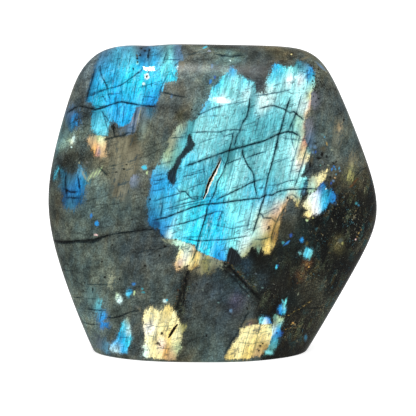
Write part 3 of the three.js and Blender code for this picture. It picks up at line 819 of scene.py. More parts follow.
# Closed cleavage cracks: half width, strength, points.
CRACKS = cracks(
    # The azure crystal.
    (0.3, 0.75, (-52, 99.5), (-48, 99), (-45, 98.6), (-43, 99), (-40, 100.2), (-38.5, 100.7),
     (-36.5, 101.4), (-35, 101.7), (-31, 101.1), (-27, 100.4), (-21, 100)),
    (0.2, 0.6, (-45, 100), (-42.5, 99.7), (-40.5, 100.2)),
    (0.4, 0.6, (-48.8, 101.3), (-47.7, 106), (-46.4, 110), (-45.4, 114)),
    (0.5, 0.45, (-29.2, 99.8), (-30.1, 94.5), (-30.8, 89.5)),
    (0.12, 0.4, (-36.3, 119), (-37.6, 113.5), (-38.3, 108)),
    (0.12, 0.4, (-28.5, 113), (-29.8, 107), (-30.4, 102)),
    (0.12, 0.35, (-43.8, 109.5), (-44.8, 104.5)),
    (0.15, 0.45, (-27, 103.7), (-21.5, 103.5)),
    (0.2, 0.6, (-43.5, 115), (-43.2, 112.5), (-42.5, 110.5), (-40.7, 107.5), (-40, 104.5),
     (-39.5, 101.2)),
    (0.15, 0.5, (-42.6, 104), (-40.5, 101.3)),
    (0.25, 0.55, (-47, 104.3), (-43, 105.5), (-41, 106.3), (-35.5, 107.8), (-33.5, 109),
     (-31.5, 110.5), (-28, 113), (-26.7, 114)),
    (0.2, 0.5, (-47.5, 103.5), (-43.5, 104.9)),
    (0.15, 0.45, (-42.5, 98.5), (-41, 93.5), (-40, 90)),
    (0.15, 0.45, (-34.6, 102), (-35, 107)),
    (0.15, 0.45, (-25.3, 109), (-26, 105), (-27, 101)),
    (0.15, 0.45, (-28.8, 107), (-25.5, 107.9), (-21, 109.2)),
    (0.15, 0.4, (-39.8, 104.4), (-35, 104.9)),
    (0.2, 0.5, (-17.5, 121), (-18.8, 117), (-19.2, 115)),
    (0.15, 0.4, (-18.8, 117.5), (-13.5, 117.3), (-12, 118)),
    (0.25, 0.6, (-13.3, 116.5), (-15, 114.5)),
    (0.2, 0.5, (-16, 112.8), (-14.5, 110.7)),
    (0.2, 0.5, (-17.5, 112), (-20, 106.5), (-20.7, 103.5)),
    (0.12, 0.35, (-32.6, 110), (-33.2, 105)),
    (0.12, 0.35, (-35.7, 100), (-36.2, 97)),
    (0.12, 0.35, (-39.4, 98), (-39.9, 95)),
    (0.12, 0.4, (-31.6, 119.5), (-32.4, 115.5)),
    (0.16, 0.5, (-43, 98.4), (-41, 95.8), (-39.4, 93.8)),
    (0.14, 0.45, (-36.4, 101.2), (-36.6, 97), (-37.2, 94.2)),
    (0.14, 0.45, (-33.9, 101.4), (-34.2, 97), (-34.6, 93.5)),
    (0.35, 0.75, (-57, 96), (-54, 98.3), (-52, 99.5)),
    (0.3, 0.5, (-42, 87), (-37, 88.5), (-34, 89), (-32, 90.5)),
    (0.35, 0.6, (-25, 121.5), (-24.8, 119), (-25, 117)),
    (0.3, 0.8, (-38.2, 93), (-38, 91), (-37.5, 88)),
    # Between the crystals, at the top.
    (0.3, 0.65, (-19.5, 105.5), (-14.5, 104.2), (-10, 103.5)),
    (0.3, 0.45, (-11, 119), (-8, 119.4), (-5, 120.3)),
    (0.35, 0.6, (0.5, 119.5), (4, 118.8), (7, 118.5), (12, 119)),
    # The big crystal, left of the long steep crack.
    (0.2, 0.6, (-6.5, 96.8), (-4.5, 97.4), (-1.5, 98.7), (0.5, 99.6), (5, 100.7)),
    (0.15, 0.35, (5, 100.7), (13, 102.2)),
    (0.3, 0.75, (14.3, 104.5), (13.8, 100), (12.8, 96), (11.3, 94), (10.2, 91), (9, 88.5),
     (8.3, 85.7), (8.9, 84.5)),
    (0.2, 0.6, (-8, 90.3), (-3, 90.6), (2.5, 90.5), (5, 91.2), (8.5, 91.4), (13, 91.1)),
    (0.2, 0.5, (3, 90.4), (4.3, 88.9), (8.5, 90.3)),
    (0.28, 0.7, (7.9, 91), (7.3, 87.5), (6.3, 84), (5.6, 80), (4.7, 78.2), (4, 75.5),
     (2.3, 72.7), (1.6, 71.3), (1.3, 69.5), (0.2, 66.5), (-1.2, 64), (-2.3, 61.7), (-2.4, 60),
     (-3.3, 57), (-4.3, 53.5), (-5.3, 50.5), (-6, 47), (-6.3, 45.5), (-7.5, 42.3),
     (-8.5, 40.5)),
    (0.33, 0.85, (-11, 77.5), (-5.5, 79.4), (0, 81.3), (5, 83.2), (9, 84.3), (14, 85.7),
     (19.5, 87.1), (23, 88.7), (25, 89.7), (28.5, 90.6), (30.5, 90.3), (33.3, 88.7)),
    (0.28, 0.75, (11, 85), (11.5, 82), (12.3, 80), (13.5, 77.5), (15, 75.7), (15.8, 73),
     (16, 70), (16.8, 66.5), (17.3, 65.5)),
    (0.2, 0.6, (12.3, 80.5), (16, 82), (20.5, 83.2)),
    (0.2, 0.6, (4.7, 78.3), (8.5, 79.8), (11.5, 81)),
    (0.15, 0.4, (-5, 86.5), (0.3, 88.3)),
    (0.2, 0.55, (16, 104), (21.5, 104.8), (25, 105.3), (30.5, 106.5)),
    (0.28, 0.75, (17.5, 99.3), (22, 100.4), (23.5, 100.3), (27, 99.3), (28, 98.5), (29.5, 97.7),
     (31, 98.1), (33, 96.3), (35.2, 94.6)),
    (0.33, 0.85, (30, 104), (28.7, 101), (28, 98.8), (26.8, 94.5), (25.8, 91), (25.2, 89.5),
     (24.3, 85.5), (23.3, 81.5), (22.3, 77.5), (21, 73.5), (20.3, 70), (19.8, 66), (18.5, 62.5),
     (17.2, 58), (15.8, 53.5), (15.2, 51.5)),
    (0.22, 0.6, (34, 104.5), (32.7, 100), (32, 97.8), (30.3, 94), (28.8, 90.5)),
    (0.18, 0.5, (30.2, 94.3), (30.5, 92), (29.9, 88.5), (31.2, 83.5)),
    (0.2, 0.5, (33.3, 88.7), (32.3, 85), (31, 80), (30, 76), (29, 72)),
    (0.24, 0.65, (37.8, 88.5), (36.5, 85.3), (35.2, 81.5), (34, 77.5), (32.5, 72.5),
     (31.2, 69)),
    (0.15, 0.4, (30.2, 106.5), (31.5, 113)),
    (0.15, 0.5, (32.5, 108.3), (34, 108)),
    (0.15, 0.45, (33, 113), (36, 112.5)),
    (0.2, 0.5, (36.3, 113.5), (36.3, 110.5)),
    (0.15, 0.4, (27, 88), (35.5, 87)),
    (0.15, 0.4, (8.5, 77.5), (7.5, 74), (6.5, 70), (5.5, 67.3)),
    (0.18, 0.55, (-12, 73.5), (-6, 75), (-3.5, 75.6)),
    (0.15, 0.45, (-9, 74.8), (-2, 77)),
    (0.15, 0.4, (-3.8, 79.5), (-3.4, 76), (-2.7, 71)),
    (0.18, 0.5, (-10, 69), (-5, 70.8), (-3, 71.3)),
    (0.24, 0.65, (-14.5, 69.8), (-12.7, 68.2), (-10.5, 68), (-8.5, 65.8), (-8, 65.2),
     (-4, 65.2)),
    (0.18, 0.55, (-22.5, 64), (-20, 65.2), (-14, 67), (-11, 68)),
    (0.18, 0.55, (-19, 61), (-11, 63.5), (-4, 65)),
    (0.3, 0.8, (-23, 56.8), (-18, 58), (-12.5, 60.2), (-8, 62), (-3, 63.2), (2.5, 63.6),
     (9.5, 64.6), (15, 65.2), (18, 65.3), (20, 66.5), (23, 66.5), (25, 67.8), (29, 68.5),
     (34, 68.5), (39.5, 68.6)),
    (0.15, 0.5, (-16, 61), (-9, 63), (-1, 64.7)),
    (0.15, 0.45, (-15, 63.7), (-8, 65.9), (0, 66.2)),
    (0.22, 0.6, (-19, 54), (-13.5, 55.3), (-7.5, 57), (-3, 58.8), (1, 60.3), (3.5, 60.7)),
    (0.2, 0.6, (-11, 50), (-5.5, 49), (0, 49.4), (5, 49.6), (11, 50.5), (13, 51)),
    (0.15, 0.4, (-12, 50.2), (-3, 51)),
    (0.26, 0.7, (1, 64.9), (5, 66.7), (9.5, 68.7), (13.5, 70.8), (16.5, 72), (19.5, 72.8)),
    (0.2, 0.6, (17.5, 69.3), (20, 69.3)),
    (0.15, 0.5, (3.5, 60.5), (2.2, 57), (1.2, 53)),
    (0.15, 0.45, (15.5, 64), (14, 57), (13, 53)),
    (0.15, 0.4, (11, 63), (9.5, 57)),
    (0.15, 0.4, (8, 56.5), (7, 50.5)),
    (0.2, 0.55, (-19, 65), (-20, 57.5)),
    (0.15, 0.4, (0, 55.5), (7.5, 53.8), (15, 55.5)),
    (0.15, 0.4, (-3, 49), (-4, 45.5)),
    (0.15, 0.4, (-0.5, 48.5), (-1, 44)),
    (0.2, 0.55, (21, 70.2), (24.5, 70.2), (29, 71.8), (32, 72)),
    (0.15, 0.4, (22.8, 78.5), (29, 80.6)),
    (0.12, 0.35, (17.8, 97), (16.3, 90.5)),
    (0.12, 0.35, (21.5, 96), (20.5, 92)),
    (0.15, 0.45, (-23, 74), (-18.5, 74.8)),
    (0.15, 0.45, (-23, 72), (-18, 72.6)),
    (0.15, 0.45, (-23.5, 68), (-18, 69.2)),
    (0.18, 0.5, (-16.5, 88.2), (-10.5, 88.7)),
    (0.18, 0.5, (-17, 83), (-14, 84)),
    (0.2, 0.5, (-20, 78.3), (-15, 79.7)),
    (0.2, 0.6, (3, 80.8), (4.6, 78.5)),
    (0.25, 0.5, (-22, 54), (-19, 50.5), (-18, 49), (-16.5, 47.8)),
    (0.15, 0.5, (-11.6, 48), (-12, 46), (-10.8, 44.5)),
    # The pale tips: the ribbon's rim, the notch of brown and the lines beside it.
    (0.22, 0.5, (28.4, 65.8), (30.6, 66.6), (32.4, 65), (32.5, 62.4)),
    (0.25, 0.6, (17.9, 59.9), (19.5, 57.8), (22.6, 57.6), (24.2, 56.2)),
    (0.22, 0.5, (26.9, 61), (24.9, 57.3), (23.4, 53.8), (22.6, 50.6), (22.2, 47.6)),
    (0.25, 0.5, (16, 49.6), (18.6, 49.4), (20.6, 49.9), (22.4, 50.4)),
    (0.2, 0.45, (27.8, 62.6), (26.4, 59.2), (25.4, 56.4)),
    # The blue crystal at the left and what is round it.
    (0.4, 0.75, (-57, 74), (-57.2, 69), (-56.6, 64.5)),
    (0.35, 0.7, (-52.3, 73.5), (-51.6, 69.5), (-51.2, 66.5)),
    (0.4, 0.7, (-58.5, 67.6), (-55, 66.3), (-51.5, 66.8)),
    (0.3, 0.65, (-57.5, 64), (-51, 64.3)),
    (0.2, 0.5, (-55, 66), (-54.2, 61.5)),
    (0.35, 0.6, (-44, 77), (-42.5, 75.5), (-40.8, 74), (-39.8, 73.4)),
    (0.3, 0.5, (-40, 77), (-36, 78)),
    # The dark vein across the left.
    (0.5, 0.75, (-64, 45.2), (-62, 45.5), (-57, 46.3), (-52, 47.3), (-46.5, 48), (-42, 49.7),
     (-38, 51)),
    (0.7, 0.6, (-61.5, 45), (-57, 45.8), (-52, 46.9), (-46.5, 47.2), (-43, 48.7)),
    (0.4, 0.7, (-38, 51), (-32, 52), (-27.5, 53), (-23, 53.3), (-22, 52.5)),
    (0.2, 0.5, (-29.5, 43.5), (-26, 44.9), (-22, 45.5)),
    (0.2, 0.4, (-22, 45.5), (-19, 46), (-16, 47.3)),
    # Lower left.
    (0.2, 0.6, (-52, 12.7), (-48, 12.9), (-45, 13.6)),
    (0.25, 0.6, (-42, 16.7), (-39, 17), (-36, 18), (-32, 20), (-28, 21)),
    (0.2, 0.6, (-50.5, 19.2), (-46, 19.4), (-42, 19.7)),
    (0.15, 0.5, (-49, 23.7), (-45.5, 24.2)),
    (0.3, 0.7, (-55, 23), (-53, 23.4), (-51.7, 24)),
    (0.15, 0.45, (-50, 29.5), (-44, 30.2), (-38, 30.8)),
    (0.15, 0.4, (-60, 34), (-53, 34.6)),
    (0.15, 0.4, (-36.5, 9.2), (-32.5, 9.5)),
    # Bottom: the brown vein, the double line and the gold crystals' scratches.
    (0.25, 0.7, (-9.6, 37.2), (-10.6, 34.5), (-10.3, 31.5), (-11.2, 28.5), (-11, 25.5),
     (-12.2, 22.8)),
    (0.6, 0.35, (-11.4, 36), (-12.4, 32.5), (-12.4, 29), (-13.2, 25), (-13.8, 21.5)),
    (0.45, 0.6, (5.2, 40), (7.6, 37.6), (9.6, 35.2), (12, 32.6), (13.6, 30.2), (16.2, 27.6),
     (18.4, 25)),
    (0.3, 0.5, (3.6, 38.4), (6.6, 35.8), (9, 33.4), (10.8, 31), (14.6, 27)),
    (0.35, 0.5, (14, 21.5), (12, 17), (9.5, 12), (7, 8.5), (4.2, 3)),
    (0.1, 0.25, (-25, 15.5), (-21, 14.5), (-15, 15.5)),
    (0.1, 0.25, (-26, 11), (-21.5, 10.2)),
    (0.1, 0.25, (-18, 9), (-18.6, 2.5)),
    (0.12, 0.3, (-22, 6), (-15, 5.5)),
    (0.1, 0.22, (11, 12.5), (16, 11.5), (22, 12.3)),
    (0.1, 0.22, (9, 8.5), (15, 7.5), (21.5, 8.2)),
    (0.1, 0.22, (14.5, 14.5), (13, 9), (11.5, 3)),
    (0.1, 0.22, (18.5, 14.5), (17, 9), (15.5, 3)),
    # Right.
    (0.2, 0.4, (44, 58.5), (50, 57.5), (58, 59)),
    (0.25, 0.4, (54, 71), (58, 74.5), (61, 75)),
    (0.15, 0.4, (43, 37), (50, 35.5), (57, 37.5)),
    (0.2, 0.45, (30, 19), (37, 20.5), (44, 19.5), (49, 20.5)),
)

# Coloured specks: two dark brown veins below the big crystal, the rusty grains beside
# them, a row of pale grains at the left, three trails of brassy grains at the lower
# right, then single specks in groups of one softness.
SPECKS = (
    *(Speck(4.8 + 1.2 * k + 0.3 * sin(k * k), 40.1 - 1.22 * k, 0.95 - 0.035 * k, 1.5,
            (T.NIGHT, T.BARK)[k % 3 // 2], -44 + 15 * sin(3 * k), 0.97)
      for k in range(11)),
    *(Speck(-9.6 - 0.4 * k + 0.3 * sin(k * k), 36 - 1.3 * k, 0.95, 1.4,
            (T.NIGHT, T.BARK)[k % 2], 17 + 15 * sin(3 * k), 0.97)
      for k in range(11)),
    *(Speck(5.9 + 1.2 * k + 0.4 * sin(k * k), 40.6 - 1.22 * k, 0.2, 0.45,
            (T.RUST, T.OLIVE, T.BRONZE)[k * k % 3], -44 + 30 * sin(3 * k), 0.9)
      for k in range(9)),
    *(Speck(-10.4 - 0.3 * k + 1.1 * sin(k * k), 35 - 0.9 * k, 0.18, 0.3,
            (T.RUST, T.OLIVE, T.UMBER)[k * k % 3], 40 * sin(3 * k), 0.9)
      for k in range(14)),
    *(Speck(-47.8 + 0.86 * k, 72.6 + 0.5 * k, 0.24, 1.75, (T.SAGE, T.LEAF)[k % 2], 30, 0.8)
      for k in range(6)),
    *(Speck(28.6 + 0.62 * k, 12.4 + 0.09 * k + 0.35 * sin(k * k), 0.32 + 0.1 * sin(5 * k), 0.16,
            (T.BRONZE, T.OLIVE, T.BRASS)[k * k % 3], 50 * sin(2 * k * k), 0.9)
      for k in range(12)),
    *(Speck(29.6 + 0.68 * k, 18.2 + 0.4 * k + 0.3 * sin(k * k), 0.34 + 0.1 * sin(5 * k), 0.16,
            (T.BRASS, T.OLIVE, T.BRONZE)[k * k % 3], 50 * sin(2 * k * k), 0.9)
      for k in range(14)),
    *(Speck(32.8 + 0.42 * k + 0.4 * sin(k * k), 31.4 + 0.62 * k, 0.34 + 0.1 * sin(5 * k), 0.18,
            (T.RUST, T.OLIVE, T.BRONZE)[k * k % 3], 70 * sin(2 * k * k), 0.9)
      for k in range(12)),
    *specks(
        # The white speck at (-25.3, 111.2), round the dark pit there, is a painted glint.
        (0.35, (-25.3, 111.2, 0.95, 1.05, T.WHITE, 0), (-26.5, 108.5, 0.6, 0.5, T.ICE, 0),
         (-29, 116.2, 0.6, 0.75, T.AQUA, 0), (-29.2, 118.8, 0.5, 0.6, T.SHALE, 0),
         (-15.8, 104, 0.4, 1, T.SLATE, 8), (-0.8, 109.3, 0.5, 0.8, T.ROYAL, 20),
         (0.8, 111, 0.4, 0.7, T.INDIGO, 0), (-0.3, 115, 0.4, 0.9, T.SLATE, 10),
         (-1.3, 120.5, 0.7, 0.35, T.LILAC, 0), (-3, 121.7, 0.9, 0.3, T.SKY, -20),
         (-26.2, 77, 0.95, 0.95, T.SKY, 0), (-25.1, 75.2, 0.4, 0.7, T.LEAF, 10),
         (-46.9, 57.7, 0.5, 1, T.ROYAL, 10), (-44.8, 54.8, 0.9, 1, T.AZURE, 10),
         (-45.1, 50.2, 0.7, 0.4, T.PINK, 0), (-48.5, 78.3, 0.5, 0.4, T.PEWTER, 0),
         (-30.4, 27.8, 0.35, 0.9, T.LEAF, 10), (-27.2, 29.5, 0.5, 0.5, T.TEAL, 0),
         (-26.8, 28.2, 0.6, 0.5, T.TEAL, 0), (36.2, 56.4, 0.6, 0.5, T.LEAF, 0),
         (38.5, 57.3, 0.4, 0.4, T.MOSS, 0), (27, 48, 0.5, 0.7, T.TEAL, 0)),
        (0.6, (34.3, 48.8, 0.65, 0.95, T.AZURE, 10), (28.6, 47.9, 0.4, 1.3, T.ROYAL, 52),
         (24.6, 38.4, 0.4, 0.85, T.SKY, 10)),
        (0.8, (6.7, 117, 0.26, 0.22, T.ICE, 30), (30.4, 119.2, 0.3, 0.22, T.CREAM, 20),
         (-51.6, 78, 0.25, 0.45, T.SAGE, 0), (-54.7, 83.7, 0.28, 0.28, T.ICE, 0),
         (-30.5, 31.3, 0.6, 0.6, T.ROYAL, 0), (-18.5, 25, 0.8, 0.6, T.ICE, 30),
         (-17.8, 25.4, 0.4, 0.4, T.SKY, 0), (45.9, 75.6, 0.32, 0.6, T.ROYAL, 25),
         (46.8, 76.5, 0.5, 0.3, T.ROYAL, 30), (48.8, 75.9, 0.3, 0.6, T.STEEL, 10),
         (49.2, 74.8, 0.25, 0.35, T.SLATE, 30), (47.6, 73.6, 0.3, 0.25, T.STEEL, 40),
         (41.4, 77.3, 0.3, 0.25, T.JADE, 0), (47.1, 72.3, 0.3, 0.22, T.SAND, 40),
         (43.6, 68.2, 0.22, 0.3, T.ICE, 30), (55.7, 61.8, 0.5, 0.45, T.TEAL, 30),
         (56.7, 61, 0.35, 0.5, T.PETROL, -20), (30, 50.8, 0.5, 0.7, T.INDIGO, 0),
         (37.2, 37.8, 0.3, 0.35, T.AMBER, 0), (55.8, 47.3, 0.3, 0.3, T.PINK, 0),
         (25.1, 38.8, 0.25, 0.5, T.INDIGO, 30), (31.4, 14.8, 0.36, 0.26, T.AMBER, 40),
         (30.8, 14.3, 0.28, 0.2, T.BRASS, -20), (32, 14.3, 0.2, 0.3, T.BRONZE, -20),
         (21.9, 3.3, 1.5, 0.7, T.AQUA, 20), (27.3, 24, 0.36, 1.05, T.TURQUOISE, -25),
         (28.3, 23.9, 0.42, 1.25, T.FROST, 18)),
        (0.9, (-28.2, 96.4, 0.2, 3.4, T.SAGE, 13), (-30.6, 95.2, 0.16, 2.2, T.LILAC, 16),
         (2.6, 80, 0.7, 1.4, T.SHALE, 12), (-7.3, 42.3, 0.16, 2.6, T.CREAM, 22),
         (-5, 47.3, 0.15, 2.2, T.ICE, 12), (-8, 106.5, 0.9, 1.3, T.FERN, 15),
         (-12, 116, 0.9, 1.2, T.TAUPE, 10), (-29, 16.8, 0.7, 1, T.FERN, 0),
         (47.3, 75.5, 0.28, 0.4, T.STEEL, -20), (42.2, 78.6, 0.6, 0.3, T.ASH, 40),
         (44.4, 77.2, 0.45, 0.25, T.SAGE, 30), (46.4, 71.2, 0.5, 0.4, T.SLATE, 35),
         (45.6, 70.3, 0.3, 0.45, T.INDIGO, 10), (45.8, 83.1, 0.35, 0.25, T.SAGE, 20),
         (42.2, 89, 0.7, 0.35, T.LICHEN, 30), (43, 88, 0.3, 0.3, T.STEEL, 30),
         (57, 49.8, 0.25, 0.4, T.BRASS, 20), (56.4, 48.4, 0.35, 0.25, T.BRONZE, 20),
         (58, 51, 0.25, 0.3, T.BRONZE, 20), (33.2, 26.8, 0.18, 0.5, T.SAGE, 20)),
        (0.95, (-21.4, 55.6, 1.3, 0.9, T.NAVY, 20), (7, 21.3, 0.5, 0.6, T.SLATE, 0),
         (2.2, 24.6, 0.4, 0.25, T.LICHEN, 20), (-0.4, 27.2, 0.4, 0.25, T.ASH, 40),
         (11.9, 30.8, 0.4, 0.25, T.LICHEN, 30), (13.9, 27.1, 0.4, 0.25, T.LICHEN, 60),
         (7.9, 35.8, 0.4, 0.25, T.ASH, 0), (-6.3, 31.9, 0.4, 0.25, T.ASH, 0),
         (-3.9, 29.7, 0.4, 0.25, T.MIST, 30), (12.7, 33.1, 0.4, 0.25, T.ASH, 40),
         (3.4, 29.7, 0.4, 0.25, T.ASH, 50), (16.4, 31.5, 0.4, 0.25, T.ASH, 40),
         (19.2, 30.2, 0.4, 0.25, T.LICHEN, 10), (16.6, 35.9, 0.4, 0.25, T.ASH, 20),
         (42.4, 83.6, 1, 0.9, T.UMBER, 0), (42, 114.4, 0.35, 2.2, T.SLATE, -48),
         (36, 117.8, 1.8, 0.4, T.TAUPE, -15), (50.4, 46.4, 0.35, 0.6, T.MOSS, 0),
         (49.6, 47.6, 0.8, 0.9, T.FERN, 0), (-32.4, 64.6, 1.2, 1.6, T.FERN, 0)),
        (0.97, (-49.6, 73.2, 0.42, 1.7, T.SAGE, -28), (-57, 88.4, 0.9, 1.6, T.LICHEN, 10),
         (-29.2, 22.2, 0.9, 0.35, T.PEWTER, 25), (-28.4, 21.3, 0.35, 0.9, T.TAUPE, -30),
         (43.9, 85.4, 0.25, 0.6, T.BRASS, -20), (37.9, 79.4, 0.6, 1.4, T.UMBER, 12),
         (39.2, 84.4, 0.7, 0.5, T.SLATE, 40), (37.6, 84.6, 0.5, 0.8, T.SLATE, 10),
         (40.2, 82.8, 0.8, 0.6, T.DUSK, 30), (39.5, 82.6, 0.3, 0.5, T.INDIGO, 20),
         (38.4, 82.4, 0.35, 0.5, T.SLATE, -20), (53.8, 68.8, 0.3, 1.2, T.RUST, 55),
         (55.5, 70.5, 0.3, 1.1, T.RUST, 50), (36.3, 47.3, 0.5, 0.8, T.OLIVE, 20),
         (36.4, 38.8, 0.45, 0.5, T.BRONZE, 10)),
        (0.98, (36.8, 7.5, 0.5, 1.2, T.PETROL, 0)),
    ),
)

# Dark pits and grains, half sizes in millimetres.
PITS = tuple(
    Speck(x, z, half, tall, T.NIGHT, 0.0, 0.5)
    for x, z, half, tall in (
        (-25.3, 111.2, 0.42, 0.5), (-28, 119, 0.45, 0.5), (-26.3, 120.5, 0.5, 0.4),
        (-25, 118.6, 0.35, 0.6), (-27.7, 121.3, 0.5, 0.3), (-24.5, 120.7, 0.35, 0.5),
        (-28.9, 116.5, 0.38, 0.42), (-30.5, 114, 0.3, 0.4), (-29.2, 117.8, 0.5, 0.3),
        (-38.1, 92.2, 0.95, 0.95), (21.4, 54, 0.65, 1), (-19.8, 12, 0.7, 0.7),
        (-21.4, 7.8, 0.95, 0.7), (-20.6, 7.2, 0.5, 0.5), (18.5, 6.3, 0.5, 0.5),
        (18, 4.5, 0.4, 0.4), (19.5, 7.3, 0.35, 0.35), (-42, 33.3, 0.45, 0.45),
        (-36, 32.8, 0.6, 0.3), (-50, 30.3, 0.45, 0.45), (-46.9, 28, 0.4, 0.9),
        (-6.2, 31.8, 0.45, 0.45), (-2, 32, 0.35, 0.35), (-2.5, 11.2, 0.45, 0.5),
        (13.2, 22.2, 0.4, 0.5),
        *((39.6 + 1.3 * sin(k * k), 101.5 + 1.1 * k, 0.3 + 0.15 * sin(3 * k), 0.35)
          for k in range(13)),
        (43, 107.5, 0.4, 0.4), (41.6, 108.8, 0.35, 0.3), (47.8, 105.5, 0.3, 0.6),
        (50.8, 94, 0.4, 0.7), (40.6, 80.2, 1.1, 0.55), (42, 81.5, 0.6, 0.9),
        (37.2, 77.7, 0.6, 1.1), (43.8, 80.7, 0.45, 0.6), (46.5, 78, 0.5, 0.4),
        (39.6, 85.6, 0.3, 0.25), (36.2, 75.2, 0.4, 0.35), (43, 77.8, 0.3, 0.3),
        (47.6, 78.4, 0.25, 0.4), (45.2, 72.7, 0.35, 0.35), (-14, 98, 0.4, 0.3),
        (-8, 99, 0.35, 0.35), (-37, 75, 0.5, 0.3), (-34, 76.3, 0.5, 0.35), (-33, 78, 0.4, 0.25),
        (-24, 65, 0.4, 0.4), (-26, 68.5, 0.35, 0.35), (-31, 57, 0.3, 0.3),
        (-38.8, 46.5, 0.4, 0.35), (-24, 46, 0.4, 0.35), (-20.5, 43, 0.4, 0.4),
        (-26.2, 38.8, 0.6, 0.5), (-43, 39.5, 0.5, 0.3), (-12.8, 38.7, 0.5, 0.4),
        (-9.7, 39.2, 0.6, 0.5), (-18.3, 46.8, 0.5, 0.5), (28.6, 65.3, 0.5, 0.6),
        (26.5, 23.9, 0.3, 0.3), (26, 15.6, 0.4, 0.3), (25, 11.3, 0.4, 0.3),
        (-12.6, 21, 0.6, 0.6), (9, 114.8, 0.4, 0.3), (13.4, 111, 0.6, 0.3),
    )
)

# The groundmass of the show face, in broad zones.
GROUND = dabs(
    (T.SHALE, (-38.6, 85, 1.6), (-38, 81, 1), (-52, 106, 2.5), (-61, 50, 3), (-40, 51, 3),
     (-25, 36, 6), (-30, 12, 4), (-45, 6, 5), (-36, 91, 2), (-22, 93, 3), (-51, 84, 2),
     (-60, 84, 2.5), (-50, 97, 2.5), (-54, 104, 3), (-15, 99, 2.5), (10, 119, 3),
     (28, 118, 2.5), (44, 108, 5), (42, 99, 4), (48, 98, 5), (48, 82, 4), (56, 84, 4),
     (-4, 22, 5), (3, 12, 4), (30, 60, 2), (7, 10, 3), (13, 21, 2.5), (-16, 34, 3)),
    (T.BARK, (-49.2, 99.8, 1.2), (-46.8, 98.2, 1), (-51.8, 99, 1.2), (-61, 45.3, 1.3),
     (-55, 46, 1.3), (-48, 46.8, 1.4), (-60.5, 76, 2.5), (29.4, 117.2, 1.1), (27.6, 116.6, 0.9),
     (30.8, 117, 1), (30, 34, 3), (22, 33, 3), (27, 26, 3), (46, 22, 3), (44, 20, 4),
     (32, 6, 3), (30, 14, 3), (37, 17, 3), (-10.5, 35, 1.7), (-11.5, 31, 1.6), (-12.3, 27, 1.7),
     (6, 39, 1.5), (14, 32, 1.4)), (T.FERN, (-55, 66, 6), (-58, 52, 5), (-45, 42, 7),
     (-56, 36, 6), (-33, 60, 6), (-40, 25, 6), (-25, 83, 4), (52, 90, 5), (-4, 10, 5),
     (-20, 30, 4)), (T.BROWN, (-63, 60, 3.5), (-42, 49, 1.5), (-49, 80, 3), (-10.5, 99.5, 2.2),
     (0, 119, 3), (58, 75, 4), (50, 74, 3), (39, 26, 3), (35, 29, 2.5)), (T.MIST, (-45, 62, 6),
     (-50, 20, 6), (-49, 90, 3), (-6, 115, 3), (45, 90, 4), (0, 4, 4)), (T.DUSK, (-30, 48, 5),
     (-49.5, 104, 2), (18, 112, 2.5), (42, 84, 3), (0, 31, 4), (-6, 27, 3), (3, 18, 3)),
    (T.TAUPE, (-33, 83, 4), (-36, 78, 3.5), (-31, 79, 3), (36, 119, 2.5)),
    (T.PEWTER, (-31, 72, 4), (-9, 108, 4), (-12, 112, 3)), (T.UMBER, (-28, 88, 2.5),
     (-10, 120, 3), (20, 118, 3), (57, 49, 1.1), (41, 29, 2), (29, 54, 2), (-6, 38, 2.5),
     (-9, 4, 3)), (T.NIGHT, (-57, 77.4, 2.3), (62, 66, 4), (55, 64, 5), (50, 55, 6),
     (58, 50, 5), (40, 53, 4), (28, 43, 3), (20, 39, 3), (19, 36, 3), (36, 36, 5), (22, 22, 3),
     (30, 21, 3), (47, 30, 5), (50, 38, 5), (38, 10, 4), (19, 25.5, 2), (18.5, 20.5, 1.6),
     (-12.5, 23, 2), (-13.5, 20.5, 2), (18, 27.5, 1.6)), (T.ASH, (-51, 110, 2.5),
     (-0.3, 27.5, 0.8)), (T.LICHEN, (-57, 91, 2.5), (-4, 100, 2.5), (0, 113, 3)),
    (T.SLATE, (-47.5, 115, 1.5)), (T.OLIVE, (-12.5, 97, 1), (29.8, 119.2, 1), (49, 47, 1.5)),
    (T.PINE, (33, 50, 4), (50, 22, 4), (42, 14, 3), (36, 6, 2.5), (24, 37.5, 2), (31, 25, 2),
     (6.5, 33, 1.8), (15, 33, 3), (2, 36, 2), (10, 36, 1.4)), (T.RUST, (36.5, 39.5, 1.1),
     (34, 34, 1.1)), (T.INK, (19, 33.5, 1.8), (13, 37, 1.6), (2.5, 26.5, 1.5),
     (11.7, 30.5, 1.4), (6, 29, 2)), (T.HEATHER, (8.4, 25.6, 1.2), (9.5, 24, 2)),
)

# How much gold, rust and olive glitters in the dark groundmass: (x, z, reach, share).
GLITTER = ((52, 58, 9, 1), (56, 48, 8, 0.9), (44, 50, 7, 0.8), (38, 37, 8, 0.8),
           (20, 26, 6, 0.6), (10, 36, 3, 0.8), (14, 31, 3, 0.8), (-12, 23, 4, 0.8),
           (34, 12, 8, 0.8), (46, 32, 9, 0.6), (60, 68, 5, 0.8), (44, 19, 8, 0.7),
           (-11, 30, 3, 0.7), (27, 40, 5, 0.3), (57, 78, 5, 0.5), (-52, 86, 6, 0.3),
           (39, 108, 5, 0.4))

